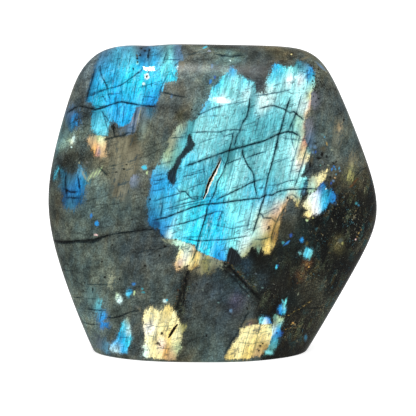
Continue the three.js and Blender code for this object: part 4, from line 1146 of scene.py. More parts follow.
# Crystals of the back, seen from behind with +X to the left.
BACK_CRYSTALS = crystals(
    (0.8, 0.9, ((-45.5, 31), (-44, 41), (-43.5, 51), (-40, 62), (-36, 66.5), (-33, 75),
      (-28.5, 81.5), (-25, 81), (-22.5, 76), (-23, 67), (-21, 60), (-23.5, 50), (-23, 42),
      (-27, 31), (-30.5, 24.5), (-34.5, 22), (-38, 26), (-42.5, 27)),
     (T.PETROL, (-43, 34, 3)), (T.STEEL, (-41, 46, 3)), (T.AZURE, (-37, 42, 3), (-36, 31, 2.5)),
     (T.BRIGHT, (-37, 56, 3)), (T.SKY, (-31, 50, 3), (-24, 64, 2.5)), (T.FROST, (-30, 64, 3)),
     (T.TURQUOISE, (-30, 75, 3), (-28, 44, 3)), (T.CYAN, (-24, 74, 2.5)),
     (T.AQUA, (-26, 56, 2.5)), (T.JADE, (-23, 55, 1.5)), (T.TEAL, (-31, 36, 3)),
     (T.SAGE, (-28, 31, 2)), (T.NAVY, (-41, 30, 2)), (T.ROYAL, (-39, 62, 1.5)),
     (T.LEAF, (-25, 38, 1.5))),
    (0.5, 0.8, ((13.5, 71), (15.5, 81), (16.5, 90), (20.5, 97), (24, 102), (28.5, 101),
      (33.5, 97), (34, 90), (33.2, 82), (31.5, 74), (28.5, 68.5), (24, 66.5), (19, 68),
      (16, 69)),
     (T.TEAL, (16, 76, 3)), (T.JADE, (19, 85, 2.5)), (T.TURQUOISE, (21, 92, 2.5)),
     (T.AQUA, (25, 98, 2.5)), (T.SKY, (25, 83, 3)), (T.FROST, (31, 92, 2.5)),
     (T.MINT, (30, 82, 2.2)), (T.BRASS, (25, 72, 2.2)), (T.ICE, (33, 90, 1.5)),
     (T.SAND, (30, 76, 1.8)), (T.SHALE, (19, 71, 2))),
    (0.4, 0.6, ((18.5, 19.5), (20.5, 29), (21.5, 36), (25, 42), (29.5, 45), (33.5, 42.5),
      (34.8, 36), (33.5, 29), (31.5, 22.5), (27, 18.5), (22, 17)),
     (T.GOLD, (22, 26, 2.5)), (T.CREAM, (27, 32, 2.5)), (T.AMBER, (32, 33, 2)),
     (T.LEAF, (24, 37, 2)), (T.SAND, (31, 41, 2)), (T.BRASS, (28, 23, 2)),
     (T.OLIVE, (21, 20, 2))),
    (1.3, 1.2, ((-51.5, 84), (-49, 95), (-45.5, 102.5), (-40.5, 106.5), (-36, 104), (-35, 96),
      (-38, 90), (-42, 83.5), (-47, 81)),
     (T.PETROL, (-48, 90, 3)), (T.ROYAL, (-44, 98, 2.5)), (T.AZURE, (-39, 101, 3)),
     (T.STEEL, (-40, 92, 2.5)), (T.DUSK, (-45, 84, 2.5))),
    (0.9, 1.1, ((43, 47), (44.5, 57), (47.5, 65.5), (50.5, 67.5), (51.5, 61), (49, 50),
      (46, 45)),
     (T.PETROL, (45, 50, 2.5)), (T.AZURE, (49, 60, 2.5)), (T.SKY, (47.5, 63, 1.5)),
     (T.DUSK, (47, 47, 1.5))),
    (0.6, 0.9, ((-3.5, 8), (-1, 20), (2, 26), (6, 27.5), (8.8, 22), (6.5, 11), (2, 6.5)),
     (T.BRASS, (-1, 12, 2)), (T.GOLD, (3, 18, 2.2)), (T.BRONZE, (5.5, 12, 2)),
     (T.SAND, (5, 24, 1.5)), (T.OLIVE, (0, 22, 1.5))),
    (0.9, 1, ((-55, 56), (-52.3, 69), (-50.8, 72), (-50.5, 66), (-52.8, 57)),
     (T.ROYAL, (-53, 62, 3)), (T.STEEL, (-51.5, 69, 1.5))),
    (0.5, 0.9, ((4, 63), (6.5, 75), (7.5, 80), (9, 75), (7, 64.5)),
     (T.AZURE, (6, 67, 2)), (T.SKY, (7.5, 76, 2))),
    (1.2, 1, ((-9, 84), (-7, 93), (-4.5, 96.5), (-3.5, 92), (-5.5, 85)),
     (T.TEAL, (-7, 88, 2)), (T.JADE, (-5, 94, 2))),
    sway=0.7,
)

BACK_INCLUSIONS = (
    ((-30, 44), (-27.5, 47), (-24.5, 54), (-25.5, 58.5), (-28.5, 54), (-31, 48)),
)

BACK_CRACKS = cracks(
    (0.3, 0.75, (-46, 46), (-34, 50), (-20, 52), (-8, 56)),
    (0.18, 0.5, (-8, 56), (6, 57), (20, 60)),
    (0.24, 0.65, (-34, 66), (-31, 54), (-27, 42), (-25, 28)),
    (0.16, 0.5, (-24, 77), (-22, 66), (-20, 54), (-19, 44)),
    (0.18, 0.5, (-36, 38), (-28, 40), (-22, 40.5)),
    (0.16, 0.45, (-40, 42), (-31, 44.5), (-23, 45.5)),
    (0.14, 0.4, (-41, 54), (-33, 56.5), (-24, 57.5)),
    (0.2, 0.5, (-33, 70), (-26, 72), (-20, 71.5)),
    (0.14, 0.4, (-39, 60), (-36, 50), (-34, 40), (-33, 32)),
    (0.22, 0.6, (12, 82), (22, 84.5), (30, 84), (40, 86)),
    (0.2, 0.5, (25, 97), (24, 86), (21, 72)),
    (0.16, 0.45, (33, 95), (31, 86), (29, 74)),
    (0.14, 0.4, (16, 78), (24, 79.5), (33, 80.5)),
    (0.14, 0.4, (19, 92), (26, 93.5), (32, 93.5)),
    (0.18, 0.45, (20, 33), (28, 32), (34, 34)),
    (0.14, 0.35, (21, 26), (27, 26), (32, 27.5)),
    (0.4, 0.6, (60, 60), (52, 64), (40, 63), (30, 65)),
    (0.22, 0.45, (30, 65), (18, 62), (10, 63)),
    (0.3, 0.5, (-6, 120), (-4, 106), (2, 92)),
    (0.18, 0.4, (2, 92), (3, 80), (1, 72)),
    (0.22, 0.5, (-60, 70), (-50, 72), (-40, 78)),
    (0.16, 0.4, (-50, 72), (-42, 74), (-36, 73)),
    (0.2, 0.4, (10, 40), (4, 30), (3, 22), (0, 8)),
    (0.24, 0.5, (-48, 98), (-40, 95), (-32, 93)),
    sway=0.45,
)

BACK_SPECKS = tuple(
    Speck(x, z, 0.6 * half, 0.85 * tall, tone, 25.0, 0.7)
    for x, z, half, tall, tone in (
        (-6, 88, 0.8, 1.2, T.AZURE), (-4, 34, 0.8, 1.1, T.SKY), (14, 20, 1.1, 0.8, T.AMBER),
        (42, 74, 0.9, 1.3, T.ROYAL), (-52, 60, 0.9, 1.6, T.ROYAL), (8, 98, 0.8, 0.9, T.LEAF),
        (-12, 96, 0.9, 1.2, T.TEAL), (46, 34, 1, 0.9, T.OLIVE), (-30, 14, 0.8, 1.2, T.TEAL),
        (-14, 22, 0.7, 0.7, T.CREAM),
    )
)

BACK_GROUND = dabs(
    (T.FERN, (-50, 60, 8), (5, 50, 7)), (T.SHALE, (-30, 90, 8), (40, 100, 8), (-45, 25, 8)),
    (T.UMBER, (0, 95, 7), (28, 60, 5)), (T.TAUPE, (0, 75, 6)), (T.BROWN, (50, 70, 7)),
    (T.BARK, (40, 40, 7), (61, 60, 6)), (T.PINE, (20, 10, 7), (45, 55, 6), (60, 76, 4),
     (50, 28, 5)), (T.DUSK, (-10, 20, 7)), (T.PEWTER, (15, 40, 6), (-15, 108, 7)),
    (T.NIGHT, (56, 42, 6)),
)


# --- Mesh -----------------------------------------------------------------------------


class Chart(Enum):
    """Where a part lies on the map: its width and height, its left and low ends."""

    FRONT = 0.70, 0.70, 0.01, 0.01
    BACK = 0.25, 0.25, 0.73, 0.01
    FRONT_EDGE = 0.70, 0.02, 0.01, 0.72
    BACK_EDGE = 0.25, 0.02, 0.73, 0.27
    BASE = 0.60, 0.60, 0.01, 0.87

    def place(self, across: Array, up: Array) -> Array:
        """Map coordinates of places given as shares of the part's width and height."""
        width, height, left, low = self.value
        return np.stack([across * width + left, up * height + low], 1)


@dataclass
class Sheet:
    """Part of the skin: points in millimetres, their place on the map, triangles."""

    points: Array
    chart: Array
    triangles: Array


def grid_cells(rows: int, columns: int, points: Array, turned: bool) -> Array:
    """Triangles of a grid of points, each cell split along its shorter diagonal.

    The four corner cells are split through the grid's corner, so that no triangle of
    theirs lies flat on the rim.

    Args:
        rows: How many rows of points.
        columns: How many points in a row.
        points: The points, row by row.
        turned: Whether the triangles face the other way.

    Returns:
        Point numbers, one row per triangle.
    """
    number = np.arange(rows * columns).reshape(rows, columns)
    p, q = number[:-1, :-1].ravel(), number[1:, :-1].ravel()
    s, r = number[:-1, 1:].ravel(), number[1:, 1:].ravel()
    first = np.linalg.norm(points[p] - points[r], axis=1)
    second = np.linalg.norm(points[q] - points[s], axis=1)
    short = (first <= second).reshape(rows - 1, columns - 1)
    short[0, 0] = short[-1, -1] = True
    short[0, -1] = short[-1, 0] = False
    short = short.reshape(-1, 1)
    upper = np.where(short, np.stack([p, q, r], 1), np.stack([p, q, s], 1))
    lower = np.where(short, np.stack([p, r, s], 1), np.stack([q, r, s], 1))
    cells = np.concatenate([upper, lower])
    return cells[:, ::-1] if turned else cells


def split_edges(
    places: Array, triangles: Array, marked: Array
) -> tuple[Array, Array]:
    """Splits marked edges at their middles, and each triangle into 2, 3 or 4 to match.

    Args:
        places: What each point holds; a new point gets the mean of its edge's ends.
        triangles: Point numbers, one row per triangle.
        marked: For each triangle, whether its edges 0-1, 1-2 and 2-0 are marked.

    Returns:
        The places and the triangles after splitting.
    """
    ends = np.stack([triangles, np.roll(triangles, -1, axis=1)], axis=2)
    keys = ends.min(axis=2) * len(places) + ends.max(axis=2)
    chosen = np.unique(keys[marked])
    marked = np.isin(keys, chosen)
    middle = len(places) + np.searchsorted(chosen, keys)
    pairs = np.stack([chosen // len(places), chosen % len(places)], 1)
    places = np.concatenate([places, places[pairs].mean(axis=1)])
    count = marked.sum(axis=1)
    result = [triangles[count == 0]]
    for turn in range(3):
        tri = np.roll(triangles, -turn, axis=1)
        mark = np.roll(marked, -turn, axis=1)
        mid = np.roll(middle, -turn, axis=1)
        one = (count == 1) & mark[:, 0]
        a, b, c = tri[one].T
        result += [np.stack([a, mid[one, 0], c], 1), np.stack([mid[one, 0], b, c], 1)]
        two = (count == 2) & ~mark[:, 2]
        a, b, c = tri[two].T
        m, n = mid[two, 0], mid[two, 1]
        result += [np.stack(t, 1) for t in ((m, b, n), (a, m, n), (a, n, c))]
    all_three = count == 3
    a, b, c = triangles[all_three].T
    m, n, o = middle[all_three].T
    result += [np.stack(t, 1) for t in ((a, m, o), (m, b, n), (o, n, c), (m, n, o))]
    return places, np.concatenate(result)


@dataclass
class StoneMesh:
    """Builds the stone's closed skin as one mesh.

    Both faces are square grids laid over the outline, the show face twice as fine as the
    back, with finer triangles still along the open cracks. Sizes are in millimetres.
    """

    shape: StoneShape
    grooves: tuple[Groove, ...]
    front_steps: int = 132
    edge_rows: int = 4
    groove_splits: int = 2
    groove_margin: float = 0.35
    swell_power: float = 0.45
    waver: float = 0.1
    waver_turns: tuple[float, float] = (2 * np.pi * 4.3, 40.0)
    map_reach: float = 65.0
    weld: float = 0.002
    shortest_edge: float = 0.0001

    def groove_places(self, x: Array, z: Array, groove: Groove) -> tuple[Array, ...]:
        """Where points lie about an open crack.

        Its half width swells as a power of the sine from end to end and wavers with two
        short waves, as a broken edge does.

        Args:
            x: Places along the width.
            z: Heights.
            groove: The open crack.

        Returns:
            Distance to its middle line, signed; its half width there; the swell, 0 to 1.
        """
        starts, ends = segments_of(groove.points, closed=False)
        places = np.stack([x, z], 1)
        gap, number, share = nearest_segment(places, starts, ends)
        run = ends - starts
        length = np.linalg.norm(run, axis=1)
        along = (np.cumsum(length) - length)[number] + share * length[number]
        t = along / length.sum()
        swell = np.sin(np.pi * np.clip(t, 0, 1)) ** self.swell_power
        slow, fast = self.waver_turns
        waver = 1 + self.waver * np.sin(slow * t) + self.waver * np.sin(fast * t + 1)
        offset = places - starts[number]
        side = np.sign(run[number, 0] * offset[:, 1] - run[number, 1] * offset[:, 0])
        return side * gap, groove.width / 2 * swell * waver, swell

    def lay(self, grid: Array) -> Array:
        """Points of the skin for places (side, a, b) of the square grids.

        The grooves are cut in here: half an ellipse deep across, deepest at the middle.

        Args:
            grid: Side (-1 front, 1 back), place across and place up, one row each.

        Returns:
            Points in millimetres, one row each.
        """
        side, a, b = grid.T
        x, z = self.shape.grid_point(a, b)
        depth = np.where(
            side < 0,
            self.shape.face_depth(self.shape.front, x, z),
            self.shape.face_depth(self.shape.back, x, z),
        )
        ring = np.maximum(np.abs(a), np.abs(b))
        near = 1 - TINY
        on_rim = (ring >= near) & ((b > -near) | (np.abs(a) >= near))
        depth = np.where(on_rim, 0, depth)
        for groove in self.grooves:
            gap, half, swell = self.groove_places(x, z, groove)
            floor = np.sqrt(np.maximum(0, 1 - (gap / np.maximum(half, SMALL)) ** 2))
            depth = depth - np.where(side < 0, groove.depth * swell * floor, 0)
        return np.stack([x, side * depth, z], 1)

    def line(self, towards: int) -> Array:
        """Places across the grid of one face, from -1 to 1."""
        steps = self.front_steps if towards < 0 else self.front_steps // 2
        return np.linspace(-1, 1, 2 * steps + 1)

    def face(self, towards: int) -> Sheet:
        """One bulging face.

        The back's cells are split along the rim, so that both rims have the same points,
        and the front's along the open cracks.

        Args:
            towards: The face's side, -1 for the front and 1 for the back.

        Returns:
            The face as a sheet.
        """
        line = self.line(towards)
        a, b = (v.ravel() for v in np.meshgrid(line, line, indexing="ij"))
        grid = np.stack([np.full_like(a, towards), a, b], 1)
        triangles = grid_cells(len(line), len(line), self.lay(grid), towards > 0)
        if towards > 0:
            sides = [grid[:, 1] <= -1, grid[:, 1] >= 1, grid[:, 2] >= 1]
            on_rim = np.stack(sides, 1)[triangles]
            marked = (on_rim & np.roll(on_rim, -1, axis=1)).any(axis=2)
            grid, triangles = split_edges(grid, triangles, marked)
        else:
            for _ in range(self.groove_splits):
                x, _, z = self.lay(grid).T
                near = np.zeros(len(grid), bool)
                for groove in self.grooves:
                    gap, half, _ = self.groove_places(x, z, groove)
                    near |= np.abs(gap) < half + self.groove_margin
                marked = np.repeat(near[triangles].any(axis=1)[:, None], 3, axis=1)
                grid, triangles = split_edges(grid, triangles, marked)
        chart = Chart.FRONT if towards < 0 else Chart.BACK
        places = chart.place(*((grid[:, 1:] + 1) / 2).T)
        return Sheet(self.lay(grid), places, triangles)

    def eased_edge(self, face: Face) -> Sheet:
        """Rows of the eased edge of the sawn base, from the wall round to the base.

        Each section is a parabola that leaves the wall, aims at the sharp edge and ends
        on the base, on the outline of the foot drawn smaller by the edge's width.

        Args:
            face: The face above the edge.

        Returns:
            The edge as a sheet.
        """
        shape = self.shape
        a = self.line(face.towards)
        wall_x, wall_z = shape.grid_point(a, -np.ones_like(a))
        (_, edge_left), (_, edge_right) = shape.foot(shape.edge_height)
        (_, base_left), (_, base_right) = shape.foot(0.0)
        middle = (base_left + base_right) / 2
        share = (wall_x - edge_left) / (edge_right - edge_left)
        base_x = mix(base_left, base_right, share)
        between = np.abs(a) < 1 - TINY
        wall_y = face.towards * shape.face_depth(face, wall_x, wall_z) * between
        base_y = face.towards * shape.face_depth(face, base_x, 0 * a) * between
        half = shape.face_depth(face, np.array([middle]), np.zeros(1))[0]
        narrower = 1 - shape.edge_width / (base_right - middle)
        thinner = 1 - shape.edge_width / half
        wall = np.stack([wall_x, wall_y, wall_z], 1)
        sharp = np.stack([base_x, base_y, 0 * a], 1)
        inner_x = middle + narrower * (base_x - middle)
        inner = np.stack([inner_x, thinner * base_y, 0 * a], 1)
        t = np.linspace(0, 1, self.edge_rows + 1)[:, None, None]
        rows = (1 - t) ** 2 * wall + 2 * t * (1 - t) * sharp + t**2 * inner
        points = rows.reshape(-1, 3)
        cells = grid_cells(self.edge_rows + 1, len(a), points, face.towards < 0)
        across = np.tile((a + 1) / 2, self.edge_rows + 1)
        up = np.repeat(np.arange(self.edge_rows + 1), len(a)) / self.edge_rows
        chart = Chart.FRONT_EDGE if face.towards < 0 else Chart.BACK_EDGE
        return Sheet(points, chart.place(across, up), cells[:, ::-1])

    def base(self, front: Sheet, back: Sheet) -> Sheet:
        """The flat sawn base between the two eased edges.

        The front edge has twice as many points as the back one, so each step is a fan
        of three triangles.

        Args:
            front: The front's eased edge.
            back: The back's eased edge.

        Returns:
            The base as a sheet.
        """
        many, few = 2 * self.front_steps + 1, self.front_steps + 1
        points = np.concatenate([front.points[-many:], back.points[-few:]])
        points[:, 2] = 0
        k = np.arange(few - 1)
        f, b = 2 * k, many + k
        fans = ((b, f + 1, f), (b, b + 1, f + 1), (b + 1, f + 2, f + 1))
        cells = np.concatenate([np.stack(fan, 1) for fan in fans])
        x, y, _ = points.T
        width = 2 * self.map_reach
        places = Chart.BASE.place((x + self.map_reach) / width, y / width)
        return Sheet(points, places, cells)

    def build(self, name: str) -> bpy.types.Mesh:
        """Joins the sheets into one closed mesh, in metres, centred as the CAD part is.

        Args:
            name: The mesh's name.

        Returns:
            The mesh, with its map and smooth shading.
        """
        front_edge = self.eased_edge(self.shape.front)
        back_edge = self.eased_edge(self.shape.back)
        sheets = [self.face(-1), self.face(1), front_edge, back_edge]
        sheets.append(self.base(front_edge, back_edge))
        starts = np.cumsum([0] + [len(s.points) for s in sheets[:-1]])
        points = np.concatenate([s.points for s in sheets])
        chart = np.concatenate([s.chart for s in sheets])
        cells = np.concatenate([s.triangles + n for s, n in zip(sheets, starts)])
        centre = (points.min(axis=0) + points.max(axis=0)) / 2
        points = (points - centre * np.array([1, 1, 0])) * MM
        mesh = bpy.data.meshes.new(name)
        mesh.from_pydata(points, [], cells.tolist())
        layer = mesh.uv_layers.new(name="OFBake")
        layer.uv.foreach_set("vector", chart[cells.ravel()].ravel().astype(np.float32))
        work = bmesh.new()
        work.from_mesh(mesh)
        bmesh.ops.remove_doubles(work, verts=work.verts[:], dist=self.weld * MM)
        shortest = self.shortest_edge * MM
        bmesh.ops.dissolve_degenerate(work, edges=work.edges[:], dist=shortest)
        bmesh.ops.recalc_face_normals(work, faces=work.faces[:])
        work.to_mesh(mesh)
        open_edges = sum(1 for e in work.edges if len(e.link_faces) != 2)
        work.free()
        mesh.polygons.foreach_set("use_smooth", [True] * len(mesh.polygons))
        log.info("%s: %d triangles, %d open edges", name, len(mesh.polygons), open_edges)
        return mesh


# --- Fields on the mesh -----------------------------------------------------------------

# Distance that stands for "none near", and what is held where no line, no spot and no
# area is near, and their colour there.
FAR = 9.0
NO_LINE, NO_SPOT, NO_AREA = (FAR, 0.1, 0.0), (FAR, FAR, 0.3), (-30.0, 0.5, 0.5)
NO_COLOUR = 0.1
# Height up to which a point counts as part of the sawn base.
BASE_SKIN = 0.02


@dataclass
class Markings:
    """Works out the stone's markings on its mesh as whole arrays.

    `points` are in millimetres, `groove` and `lips` say where they lie about the open
    cracks. Every line and speck is held at the triangles' corners in its own straight
    coordinates, so it stays sharp at any size; areas are held at the points as signed
    distances.
    """

    points: Array
    triangles: Array
    groove: Array
    lips: Array
    area_margin: float = 5.0
    crack_margin: float = 1.6
    crack_fade: tuple[float, float] = (-0.6, 2.2)
    speck_reach: float = 3.2
    least_speck: float = 0.3
    rim_wrap: float = 1.6
    base_loss: float = 4.0

    @property
    def flat(self) -> Array:
        """The points seen from the front: x and z."""
        return self.points[:, [0, 2]]

    @property
    def on_back(self) -> Array:
        """For each point, whether it lies on the back half."""
        return self.points[:, 1] > 0

    @property
    def on_base(self) -> Array:
        """For each point, whether it lies on the sawn base."""
        return self.points[:, 2] < BASE_SKIN

    def areas(
        self, patches: tuple[Patch, ...], chosen: Array, wrap: float
    ) -> tuple[Array, Array]:
        """Flash areas: signed distance, softness, raggedness and colour.

        Args:
            patches: The crystals.
            chosen: Which points may take part.
            wrap: How fast a crystal ends once it has rolled over the rim: millimetres
                of distance lost for each millimetre behind the middle plane.

        Returns:
            A vector (distance, softness, raggedness) and a colour for each point.
        """
        form = np.tile(NO_AREA, (len(self.points), 1))
        colour = np.full((len(self.points), 3), NO_COLOUR)
        behind = np.maximum(0, self.points[:, 1]) * wrap
        for patch in patches:
            outline = np.array(patch.outline)
            low = outline.min(axis=0) - self.area_margin
            high = outline.max(axis=0) + self.area_margin
            near = chosen & ((self.flat > low) & (self.flat < high)).all(axis=1)
            rows = np.flatnonzero(near)
            if not len(rows):
                continue
            edge = inside_by(self.flat[rows], patch.outline) - behind[rows]
            wins = edge > form[rows, 0]
            rows = rows[wins]
            form[rows, 0], form[rows, 1:] = edge[wins], (patch.soft, patch.ragged)
            colour[rows] = blend_dabs(self.flat[rows], patch.dabs)
        return form, colour

    def lines(self, cracks: tuple[Crack, ...], chosen: Array) -> tuple[Array, Array]:
        """The nearest and the second nearest crack of each triangle.

        Args:
            cracks: The cracks.
            chosen: Which triangles may take part.

        Returns:
            Two arrays of (signed distance, half width, strength) per corner.
        """
        count = len(self.triangles)
        corners = self.flat[self.triangles]
        centre = corners.mean(axis=1)
        gaps = np.full((count, 2), FAR)
        held = np.tile(NO_LINE, (count, 2, 3, 1))
        for crack in cracks:
            line = np.array(crack.points)
            low = line.min(axis=0) - self.crack_margin
            high = line.max(axis=0) + self.crack_margin
            inside = ((centre > low) & (centre < high)).all(axis=1)
            rows = np.flatnonzero(chosen & inside)
            if not len(rows):
                continue
            starts, ends = segments_of(crack.points, closed=False)
            gap, number, _ = nearest_segment(centre[rows], starts, ends)
            run = ends - starts
            length = np.linalg.norm(run, axis=1)
            heading = (run / length[:, None])[number]
            offset = corners[rows] - starts[number][:, None]
            across = heading[:, None, 0] * offset[..., 1]
            across = across - heading[:, None, 1] * offset[..., 0]
            along = np.einsum("ijk,ik->ij", offset, heading)
            along = along + (np.cumsum(length) - length)[number][:, None]
            to_end = np.minimum(along, length.sum() - along)
            fade = smoothstep(to_end, *self.crack_fade)
            width = crack.width * (0.5 + 0.5 * fade)
            value = np.stack([across, width, crack.strength * fade], 2)
            first = gap < gaps[rows, 0]
            second = ~first & (gap < gaps[rows, 1])
            moved = rows[first]
            held[moved, 1], gaps[moved, 1] = held[moved, 0], gaps[moved, 0]
            held[moved, 0], gaps[moved, 0] = value[first], gap[first]
            held[rows[second], 1] = value[second]
            gaps[rows[second], 1] = gap[second]
        return held[:, 0], held[:, 1]

    def spots(self, specks: tuple[Speck, ...], chosen: Array) -> tuple[Array, Array]:
        """The nearest speck of each triangle, in the speck's own coordinates.

        Args:
            specks: The specks.
            chosen: Which triangles may take part.

        Returns:
            Per corner a vector (across, up, softness), both in half sizes, and a colour.
        """
        corners = self.flat[self.triangles]
        centre = corners.mean(axis=1)
        best = np.full(len(centre), self.speck_reach)
        place = np.tile(NO_SPOT, (len(centre), 3, 1))
        colour = np.full((len(centre), 3, 3), NO_COLOUR)
        for speck in specks:
            turn = np.radians(speck.turn)
            axes = np.array([[np.cos(turn), -np.sin(turn)], [np.sin(turn), np.cos(turn)]])
            sizes = np.array([speck.half, speck.tall])
            origin = np.array([speck.x, speck.z])
            reach = np.maximum(sizes, self.least_speck)
            middle = np.linalg.norm((centre - origin) @ axes.T / reach, axis=1)
            rows = np.flatnonzero(chosen & (middle < best))
            best[rows] = middle[rows]
            place[rows, :, :2] = (corners[rows] - origin) @ axes.T / sizes
            place[rows, :, 2] = speck.soft
            colour[rows] = speck.tone.rgb
        return place, colour

    def flash(self) -> tuple[Array, Array]:
        """Form and colour of the flash, the front's crystals rolled a little over the rim.

        Returns:
            A vector (distance, softness, raggedness) and a colour for each point.
        """
        everywhere = np.ones(len(self.points), bool)
        form, colour = self.areas(CRYSTALS, everywhere, self.rim_wrap)
        back_form, back_colour = self.areas(BACK_CRYSTALS, self.on_back, wrap=0.0)
        wins = self.on_back & (back_form[:, 0] > form[:, 0])
        form[wins], colour[wins] = back_form[wins], back_colour[wins]
        form[self.on_base, 0] -= self.base_loss
        return form, colour

    def inclusions(self) -> Array:
        """Signed distance to the nearest dark inclusion, positive inside.

        Returns:
            A distance for each point, in millimetres.
        """
        depth = np.full(len(self.points), -FAR)
        for outlines, part in ((INCLUSIONS, ~self.on_back), (BACK_INCLUSIONS, self.on_back)):
            for outline in outlines:
                inside = inside_by(self.flat[part], outline)
                depth[part] = np.maximum(depth[part], inside)
        return depth

    def ground(self) -> Array:
        """Colour of the groundmass.

        Behind the rim the front's zones stray along sums of sines, and a wavy line
        blends them into the zones of the back.

        Returns:
            A colour for each point.
        """
        x, y, z = self.points.T
        rolled = smoothstep(y, -19.0, -7.0)
        along = x + rolled * (4 * np.sin(z / 9 + y / 5) - 2.5)
        up = z + rolled * (7 * np.sin(y / 6.5 + x / 14) + 3 * np.sin(y / 2.9 + z / 8))
        strayed = np.stack([along, up], 1)
        waves = 4 * np.sin(z / 7) + 3 * np.sin(z / 3.1)
        behind = smoothstep(y + waves, 2.0, 16.0)[:, None]
        zones = (GROUND, BACK_GROUND)
        front, back = (blend_dabs(strayed, zone, stretch=1.3) for zone in zones)
        return mix(front, back, behind)

    def glitter(self) -> Array:
        """Glitter: the largest of exp(-(distance / reach)^2) times a patch's own share.

        Returns:
            A share from 0 to 1 for each point.
        """
        share = np.zeros(len(self.points))
        for x, z, reach, most in GLITTER:
            away = ((self.flat - (x, z)) ** 2).sum(axis=1) / reach**2
            share = np.maximum(share, most * np.exp(-away))
        return share

    def write(self, mesh: bpy.types.Mesh) -> None:
        """Stores every field on the mesh, for the material to read.

        Args:
            mesh: The stone's mesh.
        """
        form, flash = self.flash()
        self.store(mesh, "flash_form", form)
        self.store(mesh, "flash_colour", flash)
        self.store(mesh, "ground_colour", self.ground())
        self.store(mesh, "inclusion", self.inclusions())
        self.store(mesh, "glitter", self.glitter())
        self.store(mesh, "sawn", self.on_base.astype(float))
        self.store(mesh, "groove", self.groove)
        self.store(mesh, "groove_lips", self.lips)

        back = self.points[self.triangles, 1].mean(axis=1) > 0
        for names, draw, front_marks, back_marks in (
            (("crack_near", "crack_next"), self.lines, CRACKS, BACK_CRACKS),
            (("speck_place", "speck_colour"), self.spots, SPECKS, BACK_SPECKS),
        ):
            pairs = zip(names, draw(front_marks, ~back), draw(back_marks, back))
            for name, front_value, back_value in pairs:
                value = np.where(back[:, None, None], back_value, front_value)
                self.store(mesh, name, value)
        self.store(mesh, "pit_place", self.spots(PITS, ~back)[0])

    @staticmethod
    def store(mesh: bpy.types.Mesh, name: str, values: Array) -> None:
        """Writes one field as an attribute of the mesh.

        Args:
            mesh: The mesh.
            name: The attribute's name.
            values: Numbers or vectors, one for each point, or three for each triangle.
        """
        domain = "CORNER" if values.ndim > 2 else "POINT"
        kind, member = ("FLOAT", "value") if values.ndim == 1 else ("FLOAT_VECTOR", "vector")
        attribute = mesh.attributes.new(name, kind, domain)
        attribute.data.foreach_set(member, values.astype(np.float32).ravel())


# --- Materials --------------------------------------------------------------------------


class Node(Enum):
    """Set-ups of a node: its type, the inputs its values go to, its output, settings."""

    PLACE = "TexCoord", (), "Object", {}
    VECTOR = "Attribute", (), "Vector", {}
    COLOUR = "Attribute", (), "Color", {}
    VALUE = "Attribute", (), "Fac", {}
    PARTS = "SeparateXYZ", (0,), slice(None), {}
    MAPPED = "Mapping", (0, 1, 2, 3), 0, {"vector_type": "TEXTURE"}
    NOISE = "TexNoise", ("Vector", "Scale", "Detail", "Roughness"), 0, {}
    RISE = "MapRange", (0, 1, 2, 3, 4), 0, {"interpolation_type": "SMOOTHSTEP"}
    SCALE = "VectorMath", (0, "Scale"), 0, {"operation": "SCALE"}
    TINT = "VectorMath", (0, 1), 0, {"operation": "MULTIPLY"}
    FIT = "Math", (0, 1, 2), 0, {"operation": "MULTIPLY_ADD"}
    BOTH = "Math", (0, 1), 0, {"operation": "MULTIPLY", "use_clamp": True}
    TIMES = "Math", (0, 1), 0, {"operation": "MULTIPLY"}
    PLUS = "Math", (0, 1), 0, {"operation": "ADD"}
    MINUS = "Math", (0, 1), 0, {"operation": "SUBTRACT"}
    RATIO = "Math", (0, 1), 0, {"operation": "DIVIDE"}
    POWER = "Math", (0, 1), 0, {"operation": "POWER"}
    LARGER = "Math", (0, 1), 0, {"operation": "MAXIMUM"}
    ROOT = "Math", (0,), 0, {"operation": "SQRT"}
    AWAY = "Math", (0,), 0, {"operation": "ABSOLUTE"}
    OVER = "Mix", (6, 7, 0), 2, {"data_type": "RGBA"}
    BUMP = "Bump", ("Height", "Distance", "Strength"), "Normal", {}
    GRAZING = "LayerWeight", (0,), "Facing", {}
    COATED = "BsdfPrincipled", (
        "Base Color", "Roughness", "Specular IOR Level",
        "Coat Weight", "Coat IOR", "Coat Roughness", "Coat Normal",
    ), 0, {}
    GLOWING = "BsdfPrincipled", (
        "Base Color", "Roughness", "Specular IOR Level", "Emission Color", "Emission Strength",
    ), 0, {}
    OUTPUT = "OutputMaterial", (0,), slice(None), {}


